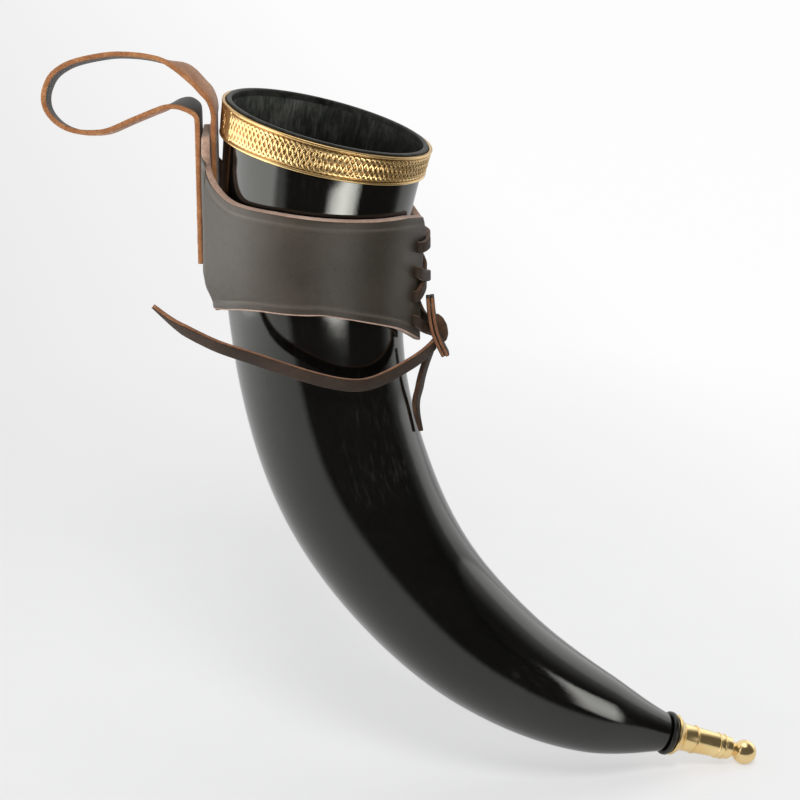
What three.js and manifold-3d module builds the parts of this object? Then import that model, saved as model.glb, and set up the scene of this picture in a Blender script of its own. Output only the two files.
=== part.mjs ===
// A drinking horn carried in a laced leather belt holster.
//
// Millimetres, +Z up. The origin is the point where a belt bears inside the loop of the
// holster's strap, midway across it. +X points from the belt to the horn and +Y runs
// along the belt.
// The horn is a hollow curved cone with a brass band at the mouth and a turned brass
// finial screwed into its solid tip. The holster is one leather sheet wrapped round the
// horn, with a tab that the belt strap is sewn to and a seam that a lace draws together.

import * as THREE from 'three';
import { mergeVertices } from 'three/addons/utils/BufferGeometryUtils.js';
import Module from 'manifold-3d';

const wasm = await Module();
wasm.setup();

const degrees = Math.PI / 180;
const fullTurn = 2 * Math.PI;

// Gap left between pieces that touch, and how far cutters run past what they cut
const seatGap = 0.3;
const cutOverrun = 2;

// Horn: a centre line of two tangent arcs and a short straight tip
const mouthX = 76.2;
const mouthY = 1.35;
const mouthZ = -25;
const hornTurn = 14 * degrees;
const mouthLean = -11.5 * degrees;
const mouthArcLength = 99;
const mouthArcRadius = 305;
const bodyArcLength = 239;
const bodyArcRadius = 221;
const tipLength = 9;
const mouthRadius = 40;
// The mouth is cut off a little askew: its side towards the belt stands higher. The band
// lies parallel to the cut, and below the band the slant fades out.
const mouthTilt = 3.5 * degrees;
const mouthTiltFade = 27;
// How the outside narrows from mouth to tip: share of the length, share of mouthRadius
const girthShares = [
  [0, 1], [0.12, 0.906], [0.3, 0.825], [0.45, 0.79],
  [0.6, 0.698], [0.75, 0.61], [0.9, 0.443], [1, 0.204],
];
const wallAtMouth = 2.2;
const wallAtCavityEnd = 5;
const cavityLength = 236;
const cavityNoseLength = 26;
const hornSides = 40;

// Brass band round the mouth
const bandWidth = 13;
const bandThickness = 0.9;
const beadWidth = 1.5;
const beadHeight = 0.6;

// Black collar and turned brass finial at the tip
const collarRadius = 9.4;
const collarWidth = 3;
const collarBevel = 1.1;
const flangeRadius = 8.8;
const flangeEndRadius = 6.6;
const flangeWidth = 4.4;
const flangeRound = 0.5;
const stemRadius = 6;
const stemEndRadius = 4.8;
const stemLength = 24.9;
const stemEndRound = 1.2;
const ringHeight = 0.5;
const ringWidth = 1;
// Places of the turned rings: share of the stem's length
const ringPlaceShares = [0.25, 0.71, 0.82];
const neckRadius = 2.7;
const neckLength = 2.1;
const ballRadius = 5.3;
const studRadius = 2.3;
const studLength = 34;
const studInHorn = 18;
const studClearance = 0.3;
const turningSides = 32;

// Holster sheet: the tab stands flat behind the horn and below the strap it runs in to lie
// against the horn, as the rest of the sheet does
const leatherThickness = 3.4;
const hornFit = 0.7;
const tabInnerX = 31.3;
const tabTop = -28.6;
const tabWidth = 22;
const tabRootWidth = 25;
const tabCorner = 2;
const tabRunIn = 13;
const sheetTop = -50.1;
const sheetBottom = -90.5;
const seamTopDrop = 9.9;
const backTopDrop = 5;
const seamBottomDrop = 21.8;
const tabBottomDrop = 7;
const filletRise = 13;
const filletRun = 17;
const seamGap = 8;
const flapAngle = 30 * degrees;
// How far round from the seam the edges start to drop, and how sharply they do
const topDropAngle = 115 * degrees;
const bottomDropAngle = 85 * degrees;
const dropPower = 1.3;

// Lace holes in pairs down the seam
const laceHoleRadius = 2.6;
const laceHoleCount = 4;
const laceHolePitch = 10;
const firstHoleBelowTop = 12.2;
const holeFromEdge = 5.5;

// Belt strap: both ends sandwich the tab, and the middle stands out as a loop
const strapWidth = 18;
const strapThickness = 2;
const strapEndZ = -79.6;
const loopStartZ = -23.6;
const loopReach = 58.1;
const loopRise = 30.6;
const loopRoll = 17 * degrees;
const rollRun = 14;
// The loop's middle line from the outer leg round to the inner leg: share of loopReach away
// from the outer leg, share of loopRise above the lowest point
const loopShares = [
  [0.007, 0.289], [0.053, 0.358], [0.115, 0.377], [0.177, 0.351], [0.262, 0.291],
  [0.43, 0.157], [0.599, 0.02], [0.704, 0], [0.788, 0.013], [0.871, 0.065],
  [0.942, 0.167], [0.99, 0.31], [1, 0.454], [0.983, 0.595], [0.94, 0.739],
  [0.864, 0.85], [0.769, 0.922], [0.561, 0.997], [0.458, 1], [0.355, 0.984],
  [0.251, 0.944], [0.169, 0.887], [0.098, 0.825], [0.028, 0.724], [-0.033, 0.593],
  [-0.074, 0.502], [-0.1, 0.381], [-0.108, 0.257],
];

// Stitching of the strap
const threadRadius = 0.4;
const stitchHoleRadius = 0.9;
const stitchRowSpacing = 13;
const stitchPitch = 4.8;
const stitchCount = 5;
const lowestStitchZ = -77.5;

// Lace: a round cord where it is pulled tight through the seam, flat at its free ends
const laceRadius = 0.9;
const laceInHoleShift = 1.4;
const laceWidth = 5;
const laceThickness = 2;
const laceSides = 8;
const laceStep = 3.2;

// Knot: the hitch that the lace is tied into below the seam's last holes
const knotX = 117.5;
const knotY = -1.5;
const knotZ = -114;
const knotRadius = 3.4;
const knotHeight = 8;

const materials = {
  horn: { color: 0x0d0d0c, roughness: 0.16, metalness: 0 },
  brass: { color: 0xc9a55c, roughness: 0.22, metalness: 1 },
  collar: { color: 0x141412, roughness: 0.3, metalness: 0 },
  leather: { color: 0x483c35, roughness: 0.5, metalness: 0 },
  strap: { color: 0xa9683f, roughness: 0.75, metalness: 0 },
  lace: { color: 0x4a392e, roughness: 0.65, metalness: 0 },
  thread: { color: 0x2e241d, roughness: 0.8, metalness: 0 },
};

const group = new THREE.Group();

function addPart(name, geometry, material) {
  const mesh = new THREE.Mesh(geometry, new THREE.MeshStandardMaterial(materials[material]));
  mesh.name = name;
  group.add(mesh);
}

// Joining and cutting of closed meshes
function toSolid(geometry) {
  const bare = geometry.clone();
  bare.deleteAttribute('normal');
  bare.deleteAttribute('uv');
  const merged = mergeVertices(bare);
  return new wasm.Manifold(new wasm.Mesh({
    numProp: 3,
    vertProperties: new Float32Array(merged.attributes.position.array),
    triVerts: new Uint32Array(merged.index.array),
  }));
}

function toGeometry(solid) {
  const mesh = solid.getMesh();
  const geometry = new THREE.BufferGeometry();
  geometry.setAttribute('position', new THREE.BufferAttribute(mesh.vertProperties, 3));
  geometry.setIndex(new THREE.BufferAttribute(mesh.triVerts, 1));
  geometry.computeVertexNormals();
  return geometry;
}

function joined(geometries) {
  return toGeometry(geometries.map(toSolid).reduce((sum, solid) => sum.add(solid)));
}

function drilled(geometry, holes) {
  return toGeometry(holes.map(toSolid).reduce((rest, hole) => rest.subtract(hole), toSolid(geometry)));
}

// A closed body through rings of points, all of the same count. A ring of one point is a
// pole that ends the body. Without poles the last ring joins the first.
function loft(rings) {
  const points = rings.flat();
  const index = [];
  const endsInPoles = rings[0].length === 1;
  const spans = endsInPoles ? rings.length - 1 : rings.length;
  let start = 0;
  for (let i = 0; i < spans; i += 1) {
    const here = rings[i].length;
    const next = rings[(i + 1) % rings.length].length;
    const nextStart = (start + here) % points.length;
    const count = Math.max(here, next);
    for (let k = 0; k < count; k += 1) {
      const a = start + k % here;
      const a1 = start + (k + 1) % here;
      const b = nextStart + k % next;
      const b1 = nextStart + (k + 1) % next;
      if (here > 1) {
        index.push(a, a1, b1);
      }
      if (next > 1) {
        index.push(a, b1, b);
      }
    }
    start += here;
  }
  const geometry = new THREE.BufferGeometry().setFromPoints(points);
  geometry.setIndex(index);
  geometry.computeVertexNormals();
  return geometry;
}

// A smooth value through stations of [place, value]
function smoothThrough(stations, place) {
  const last = stations.length - 1;
  let i = 0;
  while (i < last - 1 && place > stations[i + 1][0]) {
    i += 1;
  }
  const slope = (a, b) => (stations[b][1] - stations[a][1]) / (stations[b][0] - stations[a][0]);
  const [x0, y0] = stations[i];
  const [x1, y1] = stations[i + 1];
  const m0 = slope(Math.max(i - 1, 0), i + 1);
  const m1 = slope(i, Math.min(i + 2, last));
  const span = x1 - x0;
  const t = (place - x0) / span;
  const t2 = t * t;
  const t3 = t2 * t;
  return (2 * t3 - 3 * t2 + 1) * y0 + (t3 - 2 * t2 + t) * span * m0
    + (3 * t2 - 2 * t3) * y1 + (t3 - t2) * span * m1;
}

function ease(share) {
  return THREE.MathUtils.smoothstep(share, 0, 1);
}

// The horn bends in one upright plane. A heading is measured in it from straight down.
const up = new THREE.Vector3(0, 0, 1);
const inPlane = new THREE.Vector3(Math.cos(hornTurn), Math.sin(hornTurn), 0);
const acrossPlane = new THREE.Vector3().crossVectors(up, inPlane);

function towardsInside(heading) {
  return inPlane.clone().multiplyScalar(Math.cos(heading)).addScaledVector(up, Math.sin(heading));
}

function onwards(heading) {
  return inPlane.clone().multiplyScalar(Math.sin(heading)).addScaledVector(up, -Math.cos(heading));
}

const hornLength = mouthArcLength + bodyArcLength + tipLength;
const bodyHeading = mouthLean + mouthArcLength / mouthArcRadius;
const tipHeading = bodyHeading + bodyArcLength / bodyArcRadius;
const mouthArcCentre = new THREE.Vector3(mouthX, mouthY, mouthZ)
  .addScaledVector(towardsInside(mouthLean), mouthArcRadius);
const bodyArcCentre = mouthArcCentre.clone()
  .addScaledVector(towardsInside(bodyHeading), bodyArcRadius - mouthArcRadius);
const tipStart = bodyArcCentre.clone()
  .addScaledVector(towardsInside(tipHeading), -bodyArcRadius);

// The horn's centre line: point and heading at a distance along it from the mouth
function hornAxis(along) {
  const alongBody = along - mouthArcLength;
  const alongTip = alongBody - bodyArcLength;
  if (alongTip > 0) {
    return {
      heading: tipHeading,
      point: tipStart.clone().addScaledVector(onwards(tipHeading), alongTip),
    };
  }
  const onBody = alongBody > 0;
  const heading = onBody ? bodyHeading + alongBody / bodyArcRadius : mouthLean + along / mouthArcRadius;
  const centre = onBody ? bodyArcCentre : mouthArcCentre;
  const radius = onBody ? bodyArcRadius : mouthArcRadius;
  return { heading, point: centre.clone().addScaledVector(towardsInside(heading), -radius) };
}

function hornRadius(along) {
  return mouthRadius * smoothThrough(girthShares, along / hornLength);
}

// A body swept round the centre line from a profile of [along, radius]
function roundHorn(profile) {
  return loft(profile.map(([along, radius]) => {
    const { heading, point } = hornAxis(along);
    if (radius === 0) {
      return [point];
    }
    const slant = Math.tan(mouthTilt) * (1 - ease((along - bandWidth) / mouthTiltFade));
    return Array.from({ length: hornSides }, (_, k) => {
      const inwards = radius * Math.cos(fullTurn * k / hornSides);
      return point.clone()
        .addScaledVector(towardsInside(heading), inwards)
        .addScaledVector(acrossPlane, radius * Math.sin(fullTurn * k / hornSides))
        .addScaledVector(onwards(heading), inwards * slant);
    });
  }));
}

// A turned piece on the tip's straight axis, from a profile of [distance past base, radius]
function turned(profile, base) {
  const outline = profile.map(([distance, radius]) => new THREE.Vector2(radius, distance));
  const lathe = new THREE.LatheGeometry(outline, turningSides);
  const lathesAxis = new THREE.Vector3(0, 1, 0);
  lathe.applyQuaternion(new THREE.Quaternion().setFromUnitVectors(lathesAxis, onwards(tipHeading)));
  const { point } = hornAxis(base);
  lathe.translate(point.x, point.y, point.z);
  return lathe;
}

// Horn body: outside from tip to mouth, the lip, then the cavity down to its rounded nose
function hornBody() {
  const outsideSteps = 38;
  const cavitySteps = 16;
  const noseSteps = 5;
  const noseStart = cavityLength - cavityNoseLength;
  const wallAt = (along) => THREE.MathUtils.lerp(wallAtMouth, wallAtCavityEnd, along / cavityLength);
  const profile = [[hornLength, 0]];
  for (let i = 0; i <= outsideSteps; i += 1) {
    const along = hornLength * (1 - i / outsideSteps);
    profile.push([along, hornRadius(along)]);
  }
  for (let i = 0; i <= cavitySteps; i += 1) {
    const along = noseStart * i / cavitySteps;
    profile.push([along, hornRadius(along) - wallAt(along)]);
  }
  const noseRadius = hornRadius(noseStart) - wallAt(noseStart);
  for (let i = 1; i < noseSteps; i += 1) {
    const angle = Math.PI / 2 * i / noseSteps;
    profile.push([noseStart + cavityNoseLength * Math.sin(angle), noseRadius * Math.cos(angle)]);
  }
  profile.push([cavityLength, 0]);
  const studHole = turned([
    [-studInHorn - studClearance, 0],
    [-studInHorn - studClearance, studRadius + studClearance],
    [cutOverrun, studRadius + studClearance],
    [cutOverrun, 0],
  ], hornLength);
  return drilled(roundHorn(profile), [studHole]);
}

// Rim band: a strip that follows the horn's taper, with a half-round bead along each edge
function rimBand() {
  const beadSteps = 4;
  const inner = (along) => hornRadius(along) + seatGap;
  const profile = [[0, inner(0)], [bandWidth, inner(bandWidth)]];
  for (const beadStart of [bandWidth, beadWidth]) {
    for (let i = 0; i <= beadSteps; i += 1) {
      const angle = Math.PI * i / beadSteps;
      const along = beadStart - beadWidth * (1 - Math.cos(angle)) / 2;
      profile.push([along, inner(along) + bandThickness + beadHeight * Math.sin(angle)]);
    }
  }
  return roundHorn(profile);
}

// Tip collar: a black ring, bevelled towards the finial, between it and the horn
const collarBase = hornLength + seatGap;

function tipCollar() {
  const bore = studRadius + studClearance;
  return turned([
    [collarWidth, bore],
    [0, bore],
    [0, collarRadius - collarBevel / 2],
    [collarBevel / 2, collarRadius],
    [collarWidth - collarBevel, collarRadius],
    [collarWidth, collarRadius - collarBevel],
    [collarWidth, bore],
  ], collarBase);
}

// Finial: sloping flange, tapered stem with turned rings, neck and ball, bored for the stud
const finialBase = collarBase + collarWidth + seatGap;

function finial() {
  const ringSteps = 4;
  const ballSteps = 9;
  const bore = studRadius + studClearance;
  const boreDepth = studLength - studInHorn - collarWidth - 2 * seatGap + studClearance;
  const profile = [
    [boreDepth, 0],
    [boreDepth, bore],
    [0, bore],
    [0, flangeRadius - flangeRound],
    [flangeRound, flangeRadius],
    [2 * flangeRound, flangeRadius],
    [flangeWidth - flangeRound, flangeEndRadius],
    [flangeWidth, flangeEndRadius - flangeRound],
    [flangeWidth, stemRadius],
  ];
  for (const share of ringPlaceShares) {
    for (let i = 0; i <= ringSteps; i += 1) {
      const angle = Math.PI * i / ringSteps;
      profile.push([
        flangeWidth + stemLength * share - ringWidth * Math.cos(angle) / 2,
        THREE.MathUtils.lerp(stemRadius, stemEndRadius, share) + ringHeight * Math.sin(angle),
      ]);
    }
  }
  const stemEnd = flangeWidth + stemLength;
  profile.push([stemEnd - stemEndRound, stemEndRadius]);
  profile.push([stemEnd, stemEndRadius - stemEndRound]);
  const neckAngle = Math.asin(neckRadius / ballRadius);
  const ballCentre = stemEnd + neckLength + ballRadius * Math.cos(neckAngle);
  for (let i = 0; i < ballSteps; i += 1) {
    const angle = THREE.MathUtils.lerp(neckAngle, Math.PI, i / ballSteps);
    profile.push([ballCentre - ballRadius * Math.cos(angle), ballRadius * Math.sin(angle)]);
  }
  profile.push([ballCentre + ballRadius, 0]);
  return turned(profile, finialBase);
}

// Hidden stud that holds collar and finial to the horn's solid tip
function finialStud() {
  return turned([
    [-studInHorn, 0],
    [-studInHorn, studRadius],
    [studLength - studInHorn, studRadius],
    [studLength - studInHorn, 0],
  ], hornLength);
}

// The horn's centre and the sheet's inside radius at a height
function sleeveAt(height) {
  let low = 0;
  let high = hornLength;
  while (high - low > seatGap / 100) {
    const middle = (low + high) / 2;
    if (hornAxis(middle).point.z > height) {
      low = middle;
    } else {
      high = middle;
    }
  }
  return { centre: hornAxis(low).point.setZ(height), reach: hornRadius(low) + hornFit };
}

// The sheet is described by columns, each an upright line on its inner face with the
// direction of its thickness. Angles run from the seam at 0 to the tab at half a turn.
// A side of -1 is the front half and of 1 the back half.

// A place on the flat flap that leads to the seam, at a distance from the flap's edge
function flapPlace(side, height, fromEdge) {
  const { centre, reach } = sleeveAt(height);
  const flapLength = (reach * Math.sin(flapAngle) - seamGap / 2) / Math.cos(flapAngle);
  const normal = new THREE.Vector3(Math.cos(flapAngle), side * Math.sin(flapAngle), 0);
  const towardsSeam = new THREE.Vector3(Math.sin(flapAngle), -side * Math.cos(flapAngle), 0);
  return {
    normal,
    flapLength,
    point: centre.addScaledVector(normal, reach).addScaledVector(towardsSeam, flapLength - fromEdge),
  };
}

function flapColumn(side, share) {
  return (height) => flapPlace(side, height, flapPlace(side, height, 0).flapLength * share);
}

// Where the tab's inner face stands at a height: it runs in to the horn below the strap
function tabInnerAt(height) {
  const { centre, reach } = sleeveAt(height);
  const share = ease((strapEndZ - strapThickness - height) / tabRunIn);
  return THREE.MathUtils.lerp(tabInnerX, centre.x - reach, share);
}

// Round the horn, then straight on from the horn to the edge of the tab's root
function wrapColumn(side, angle) {
  return (height) => {
    const { centre, reach } = sleeveAt(height);
    const tabDistance = Math.hypot(centre.x - tabInnerAt(height), tabRootWidth / 2);
    const shoulder = tabRootAngle(height) - Math.acos(Math.min(reach / tabDistance, 1));
    const turn = Math.min(angle, shoulder);
    const distance = reach / Math.cos(angle - turn);
    return {
      normal: new THREE.Vector3(Math.cos(turn), side * Math.sin(turn), 0),
      point: centre.add(new THREE.Vector3(Math.cos(angle), side * Math.sin(angle), 0)
        .multiplyScalar(distance)),
    };
  };
}

function tabRootAngle(height) {
  return Math.PI - Math.atan(tabRootWidth / 2 / (sleeveAt(height).centre.x - tabInnerAt(height)));
}

function tabColumn(y) {
  return (height) => ({
    normal: new THREE.Vector3(-1, 0, 0),
    point: new THREE.Vector3(tabInnerAt(height), y, height),
  });
}

// The top edge is level and drops towards the seam, more so on the back half
function sheetTopAt(side, angle) {
  const drop = side < 0 ? seamTopDrop : seamTopDrop + backTopDrop;
  return sheetTop - drop * Math.max(1 - angle / topDropAngle, 0) ** dropPower;
}

// The bottom edge drops to a point at the seam and a little under the tab
function sheetBottomAt(angle) {
  const seamShare = Math.max(1 - angle / bottomDropAngle, 0) ** dropPower;
  const tabShare = ease((angle - topDropAngle) / (Math.PI - topDropAngle));
  return sheetBottom - seamBottomDrop * seamShare - tabBottomDrop * tabShare;
}

// One half of the sheet, from the seam edge to the tab
function halfSheet(side) {
  const flapSteps = 4;
  const wrapSteps = 13;
  const filletSteps = 5;
  const columns = [];
  const addColumn = (place, angle, top) => {
    columns.push({ place, top, bottom: sheetBottomAt(angle) });
  };
  for (let i = 0; i < flapSteps; i += 1) {
    const angle = flapAngle * i / flapSteps;
    addColumn(flapColumn(side, i / flapSteps), angle, sheetTopAt(side, angle));
  }
  const rootAngle = tabRootAngle(sheetTop);
  const filletAngle = rootAngle - filletRun / sleeveAt(sheetTop).reach;
  for (let i = 0; i < wrapSteps; i += 1) {
    const angle = THREE.MathUtils.lerp(flapAngle, filletAngle, i / wrapSteps);
    addColumn(wrapColumn(side, angle), angle, sheetTopAt(side, angle));
  }
  for (let i = 0; i <= filletSteps; i += 1) {
    const turn = Math.PI / 2 * i / filletSteps;
    const angle = THREE.MathUtils.lerp(filletAngle, rootAngle, Math.sin(turn));
    addColumn(wrapColumn(side, angle), angle, sheetTop + filletRise * (1 - Math.cos(turn)));
  }
  const tabHalf = tabWidth / 2;
  const cornerCut = tabCorner * (1 - Math.SQRT1_2);
  addColumn(tabColumn(side * tabHalf), Math.PI, tabTop - tabCorner);
  addColumn(tabColumn(side * (tabHalf - cornerCut)), Math.PI, tabTop - cornerCut);
  addColumn(tabColumn(side * (tabHalf - tabCorner)), Math.PI, tabTop);
  return columns;
}

function sheet() {
  const rows = 9;
  const columns = [...halfSheet(-1), ...halfSheet(1).reverse()];
  const rings = columns.map(({ place, top, bottom }) => {
    const inner = [];
    const outer = [];
    for (let i = 0; i <= rows; i += 1) {
      const { point, normal } = place(THREE.MathUtils.lerp(bottom, top, i / rows));
      inner.push(point);
      outer.push(point.clone().addScaledVector(normal, leatherThickness));
    }
    return [...outer, ...inner.reverse()];
  });
  const middleOf = (ring) => ring.reduce((sum, point) => sum.add(point), new THREE.Vector3())
    .divideScalar(ring.length);
  return loft([[middleOf(rings[0])], ...rings, [middleOf(rings[rings.length - 1])]]);
}

function roundSection(radius, sides) {
  return new THREE.Shape(Array.from({ length: sides }, (_, k) => new THREE.Vector2(
    radius * Math.cos(fullTurn * k / sides), radius * Math.sin(fullTurn * k / sides),
  )));
}

// A straight round bar between two points
function bar(start, end, radius, sides) {
  return new THREE.ExtrudeGeometry(roundSection(radius, sides), {
    steps: 1, bevelEnabled: false, extrudePath: new THREE.LineCurve3(start, end),
  });
}

// A place on a flap level with a row of lace holes, or between two rows where the row is
// not whole, at an offset outwards from the sheet's inner face
function flapPoint(side, row, fromEdge, offset) {
  const height = sheetTop - seamTopDrop - firstHoleBelowTop - row * laceHolePitch;
  const { point, normal } = flapPlace(side, height, fromEdge);
  return point.addScaledVector(normal, offset);
}

function holePoint(side, row, offset) {
  return flapPoint(side, row, holeFromEdge, offset);
}

function laceHoles() {
  const holeSides = 12;
  const rows = Array.from({ length: laceHoleCount }, (_, row) => row);
  return rows.flatMap((row) => [-1, 1].map((side) => bar(
    holePoint(side, row, -cutOverrun),
    holePoint(side, row, leatherThickness + cutOverrun),
    laceHoleRadius,
    holeSides,
  )));
}

// Middles of the strap's two legs, which lie against the tab's outer and inner faces
const outerLegX = tabInnerX - leatherThickness - seatGap - strapThickness / 2;
const innerLegX = tabInnerX + seatGap + strapThickness / 2;

function stitchHeights() {
  return Array.from({ length: stitchCount }, (_, i) => lowestStitchZ + i * stitchPitch);
}

function stitchHoles() {
  const holeSides = 10;
  return stitchHeights().flatMap((z) => [-1, 1].map((side) => {
    const y = side * stitchRowSpacing / 2;
    return bar(
      new THREE.Vector3(outerLegX - strapThickness, y, z),
      new THREE.Vector3(innerLegX + strapThickness, y, z),
      stitchHoleRadius,
      holeSides,
    );
  }));
}

function holsterSleeve() {
  return drilled(sheet(), [...laceHoles(), ...stitchHoles()]);
}

// The strap's middle line seen along the belt, from leg end to leg end
function strapRoute() {
  const loopSteps = 68;
  const loopLowZ = strapThickness / 2 - loopRise;
  const loopCurve = new THREE.CatmullRomCurve3([
    new THREE.Vector3(outerLegX, 0, loopStartZ),
    ...loopShares.map(([reachShare, riseShare]) => new THREE.Vector3(
      outerLegX - loopReach * reachShare, 0, loopLowZ + loopRise * riseShare,
    )),
    new THREE.Vector3(innerLegX, 0, loopStartZ),
  ], false, 'centripetal');
  const legMiddleZ = (strapEndZ + loopStartZ) / 2;
  return [
    new THREE.Vector3(outerLegX, 0, strapEndZ),
    new THREE.Vector3(outerLegX, 0, legMiddleZ),
    ...loopCurve.getSpacedPoints(loopSteps),
    new THREE.Vector3(innerLegX, 0, legMiddleZ),
    new THREE.Vector3(innerLegX, 0, strapEndZ),
  ];
}

// The free loop hangs rolled, so that its far edge lies lower than its near edge
function beltLoopStrap() {
  const route = strapRoute();
  const rings = route.map((middle, i) => {
    const before = route[Math.max(i - 1, 0)];
    const after = route[Math.min(i + 1, route.length - 1)];
    const along = after.clone().sub(before).normalize();
    const roll = Math.tan(loopRoll) * ease((outerLegX - strapThickness - middle.x) / rollRun);
    const corner = (face, y) => new THREE.Vector3(
      middle.x - along.z * face * strapThickness / 2,
      y,
      middle.z + along.x * face * strapThickness / 2 - y * roll,
    );
    const half = strapWidth / 2;
    return [
      corner(-1, -half), corner(-1, 0), corner(-1, half), corner(1, half), corner(1, 0), corner(1, -half),
    ];
  });
  return drilled(loft([[route[0]], ...rings, [route[route.length - 1]]]), stitchHoles());
}

// Stitching: the thread of one row, in and out through strap, tab and strap
function stitchRow(side) {
  const threadSides = 8;
  const y = side * stitchRowSpacing / 2;
  const outside = outerLegX - strapThickness / 2 - seatGap - threadRadius;
  const inside = innerLegX + strapThickness / 2 + seatGap + threadRadius;
  const points = stitchHeights().flatMap((z, i) => {
    const ends = [new THREE.Vector3(outside, y, z), new THREE.Vector3(inside, y, z)];
    return i % 2 === 0 ? ends : ends.reverse();
  });
  return mitredCord(points, threadRadius, threadSides);
}

// A cord with mitred corners through points that share one y
function mitredCord(points, radius, sides) {
  const square = new THREE.Vector3(0, 1, 0);
  const last = points.length - 1;
  const rings = points.map((point, i) => {
    const arriving = point.clone().sub(points[Math.max(i - 1, 0)]).normalize();
    const leaving = points[Math.min(i + 1, last)].clone().sub(point).normalize();
    const direction = arriving.clone().add(leaving).normalize();
    const mitre = 1 / direction.dot(i === 0 ? leaving : arriving);
    const sideways = new THREE.Vector3().crossVectors(direction, square);
    return Array.from({ length: sides }, (_, k) => point.clone()
      .addScaledVector(square, radius * Math.cos(fullTurn * k / sides))
      .addScaledVector(sideways, radius * mitre * Math.sin(fullTurn * k / sides)));
  });
  return loft([[points[0]], ...rings, [points[last]]]);
}

// A round cord along a smooth route
function roundCord(points, radius, sides, step) {
  const route = new THREE.CatmullRomCurve3(points, false, 'centripetal');
  return new THREE.ExtrudeGeometry(roundSection(radius, sides), {
    steps: Math.round(route.getLength() / step), bevelEnabled: false, extrudePath: route,
  });
}

// Corners of a flat lace's section as shares of half its width and half its thickness
const laceSectionShares = [
  [1, -0.55], [1, 0.55], [0.8, 1], [-0.8, 1], [-1, 0.55], [-1, -0.55], [-0.8, -1], [0.8, -1],
];

// A flat lace along a smooth route, its broad side facing away from the horn, narrowing
// to a share of its width over the last stretch
function flatLace(points, endShare) {
  const route = new THREE.CatmullRomCurve3(points, false, 'centripetal');
  const steps = Math.round(route.getLength() / laceStep);
  const rings = Array.from({ length: steps + 1 }, (_, i) => {
    const middle = route.getPointAt(i / steps);
    const along = route.getTangentAt(i / steps);
    const fromHorn = middle.clone().sub(sleeveAt(middle.z).centre).normalize();
    const across = new THREE.Vector3().crossVectors(fromHorn, along).normalize();
    const outward = new THREE.Vector3().crossVectors(along, across);
    const left = route.getLength() * (1 - i / steps);
    const width = laceWidth * THREE.MathUtils.lerp(endShare, 1, Math.min(left / laceWidth, 1));
    return laceSectionShares.map(([widthShare, thicknessShare]) => middle.clone()
      .addScaledVector(across, widthShare * width / 2)
      .addScaledVector(outward, thicknessShare * laceThickness / 2));
  });
  return loft([[points[0]], ...rings, [points[points.length - 1]]]);
}

// Lacing: each half of the lace leaves the outside bar across the top pair of holes,
// crosses the seam inside, outside and inside again, and comes out of the last pair. It is
// pulled against the seam's side of every hole.
function laceHalf(side) {
  const outer = leatherThickness + seatGap + laceRadius;
  const inner = -seatGap - laceRadius;
  const inwards = (holeSide, row) => [outer, leatherThickness, 0, inner]
    .map((offset) => flapPoint(holeSide, row, holeFromEdge - laceInHoleShift, offset));
  const outwards = (holeSide, row) => inwards(holeSide, row).reverse();
  const overEdge = (edgeSide, row) => flapPoint(edgeSide, row, 0, outer);
  const outsideSeam = (row) => overEdge(side, row).setY(0);
  const insideSeam = (row) => flapPoint(side, row, holeFromEdge / 2, inner).setY(0);
  const knotEntry = new THREE.Vector3(
    knotX, knotY - side * laceRadius, knotZ + knotHeight / 2 + laceRadius,
  );
  return roundCord([
    outsideSeam(0).setY(-side * laceRadius),
    outsideSeam(0).setY(side * laceRadius),
    overEdge(side, 0),
    ...inwards(side, 0),
    insideSeam(0.5),
    ...outwards(-side, 1),
    overEdge(-side, 1.3),
    outsideSeam(1.5),
    overEdge(side, 1.7),
    ...inwards(side, 2),
    insideSeam(2.5),
    ...outwards(-side, 3),
    overEdge(-side, 3.4),
    knotEntry,
  ], laceRadius, laceSides, laceRadius * 2);
}

function laceWeave() {
  const strandToKnot = flatLace([
    new THREE.Vector3(115.7, -5, -95.5),
    new THREE.Vector3(116.3, -5, -102),
    new THREE.Vector3(117, -4, -108.4),
  ], 1);
  return joined([laceHalf(-1), laceHalf(1), strandToKnot]);
}

// Knot: the hitch, a loop of lace that stands up out of it and a cut end below
function laceKnot() {
  const hitchSides = 12;
  const halfHeight = knotHeight / 2;
  const hitch = bar(
    new THREE.Vector3(knotX, knotY, knotZ + halfHeight - seatGap),
    new THREE.Vector3(knotX, knotY, knotZ - halfHeight),
    knotRadius,
    hitchSides,
  );
  const standingLoop = roundCord([
    new THREE.Vector3(118, -2, -113),
    new THREE.Vector3(121, -3, -109.5),
    new THREE.Vector3(121.2, -2, -106),
    new THREE.Vector3(120.8, 0, -108),
    new THREE.Vector3(118.5, -0.5, -112),
  ], laceRadius, laceSides, laceRadius * 2);
  const cutEnd = flatLace([
    new THREE.Vector3(118.8, -3, -112),
    new THREE.Vector3(120.4, -3, -115.5),
    new THREE.Vector3(121.9, -3, -119.5),
  ], 1);
  return joined([hitch, standingLoop, cutEnd]);
}

// Free end of the lace that runs round the front of the sleeve towards the strap
function laceEndLong() {
  return flatLace([
    new THREE.Vector3(116, -5.5, -115.5),
    new THREE.Vector3(113.6, -10, -116.2),
    new THREE.Vector3(107.7, -18, -117.5),
    new THREE.Vector3(96.1, -30, -119.7),
    new THREE.Vector3(88.5, -37, -119.5),
    new THREE.Vector3(77.1, -40.5, -116.7),
    new THREE.Vector3(61.8, -41, -111.8),
    new THREE.Vector3(46.6, -38, -107.3),
    new THREE.Vector3(33.6, -36, -103.6),
    new THREE.Vector3(25.9, -34, -100.2),
    new THREE.Vector3(19.7, -32, -97.7),
    new THREE.Vector3(14.4, -31, -93.6),
    new THREE.Vector3(9.5, -30, -89.5),
  ], 0.2);
}

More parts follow.
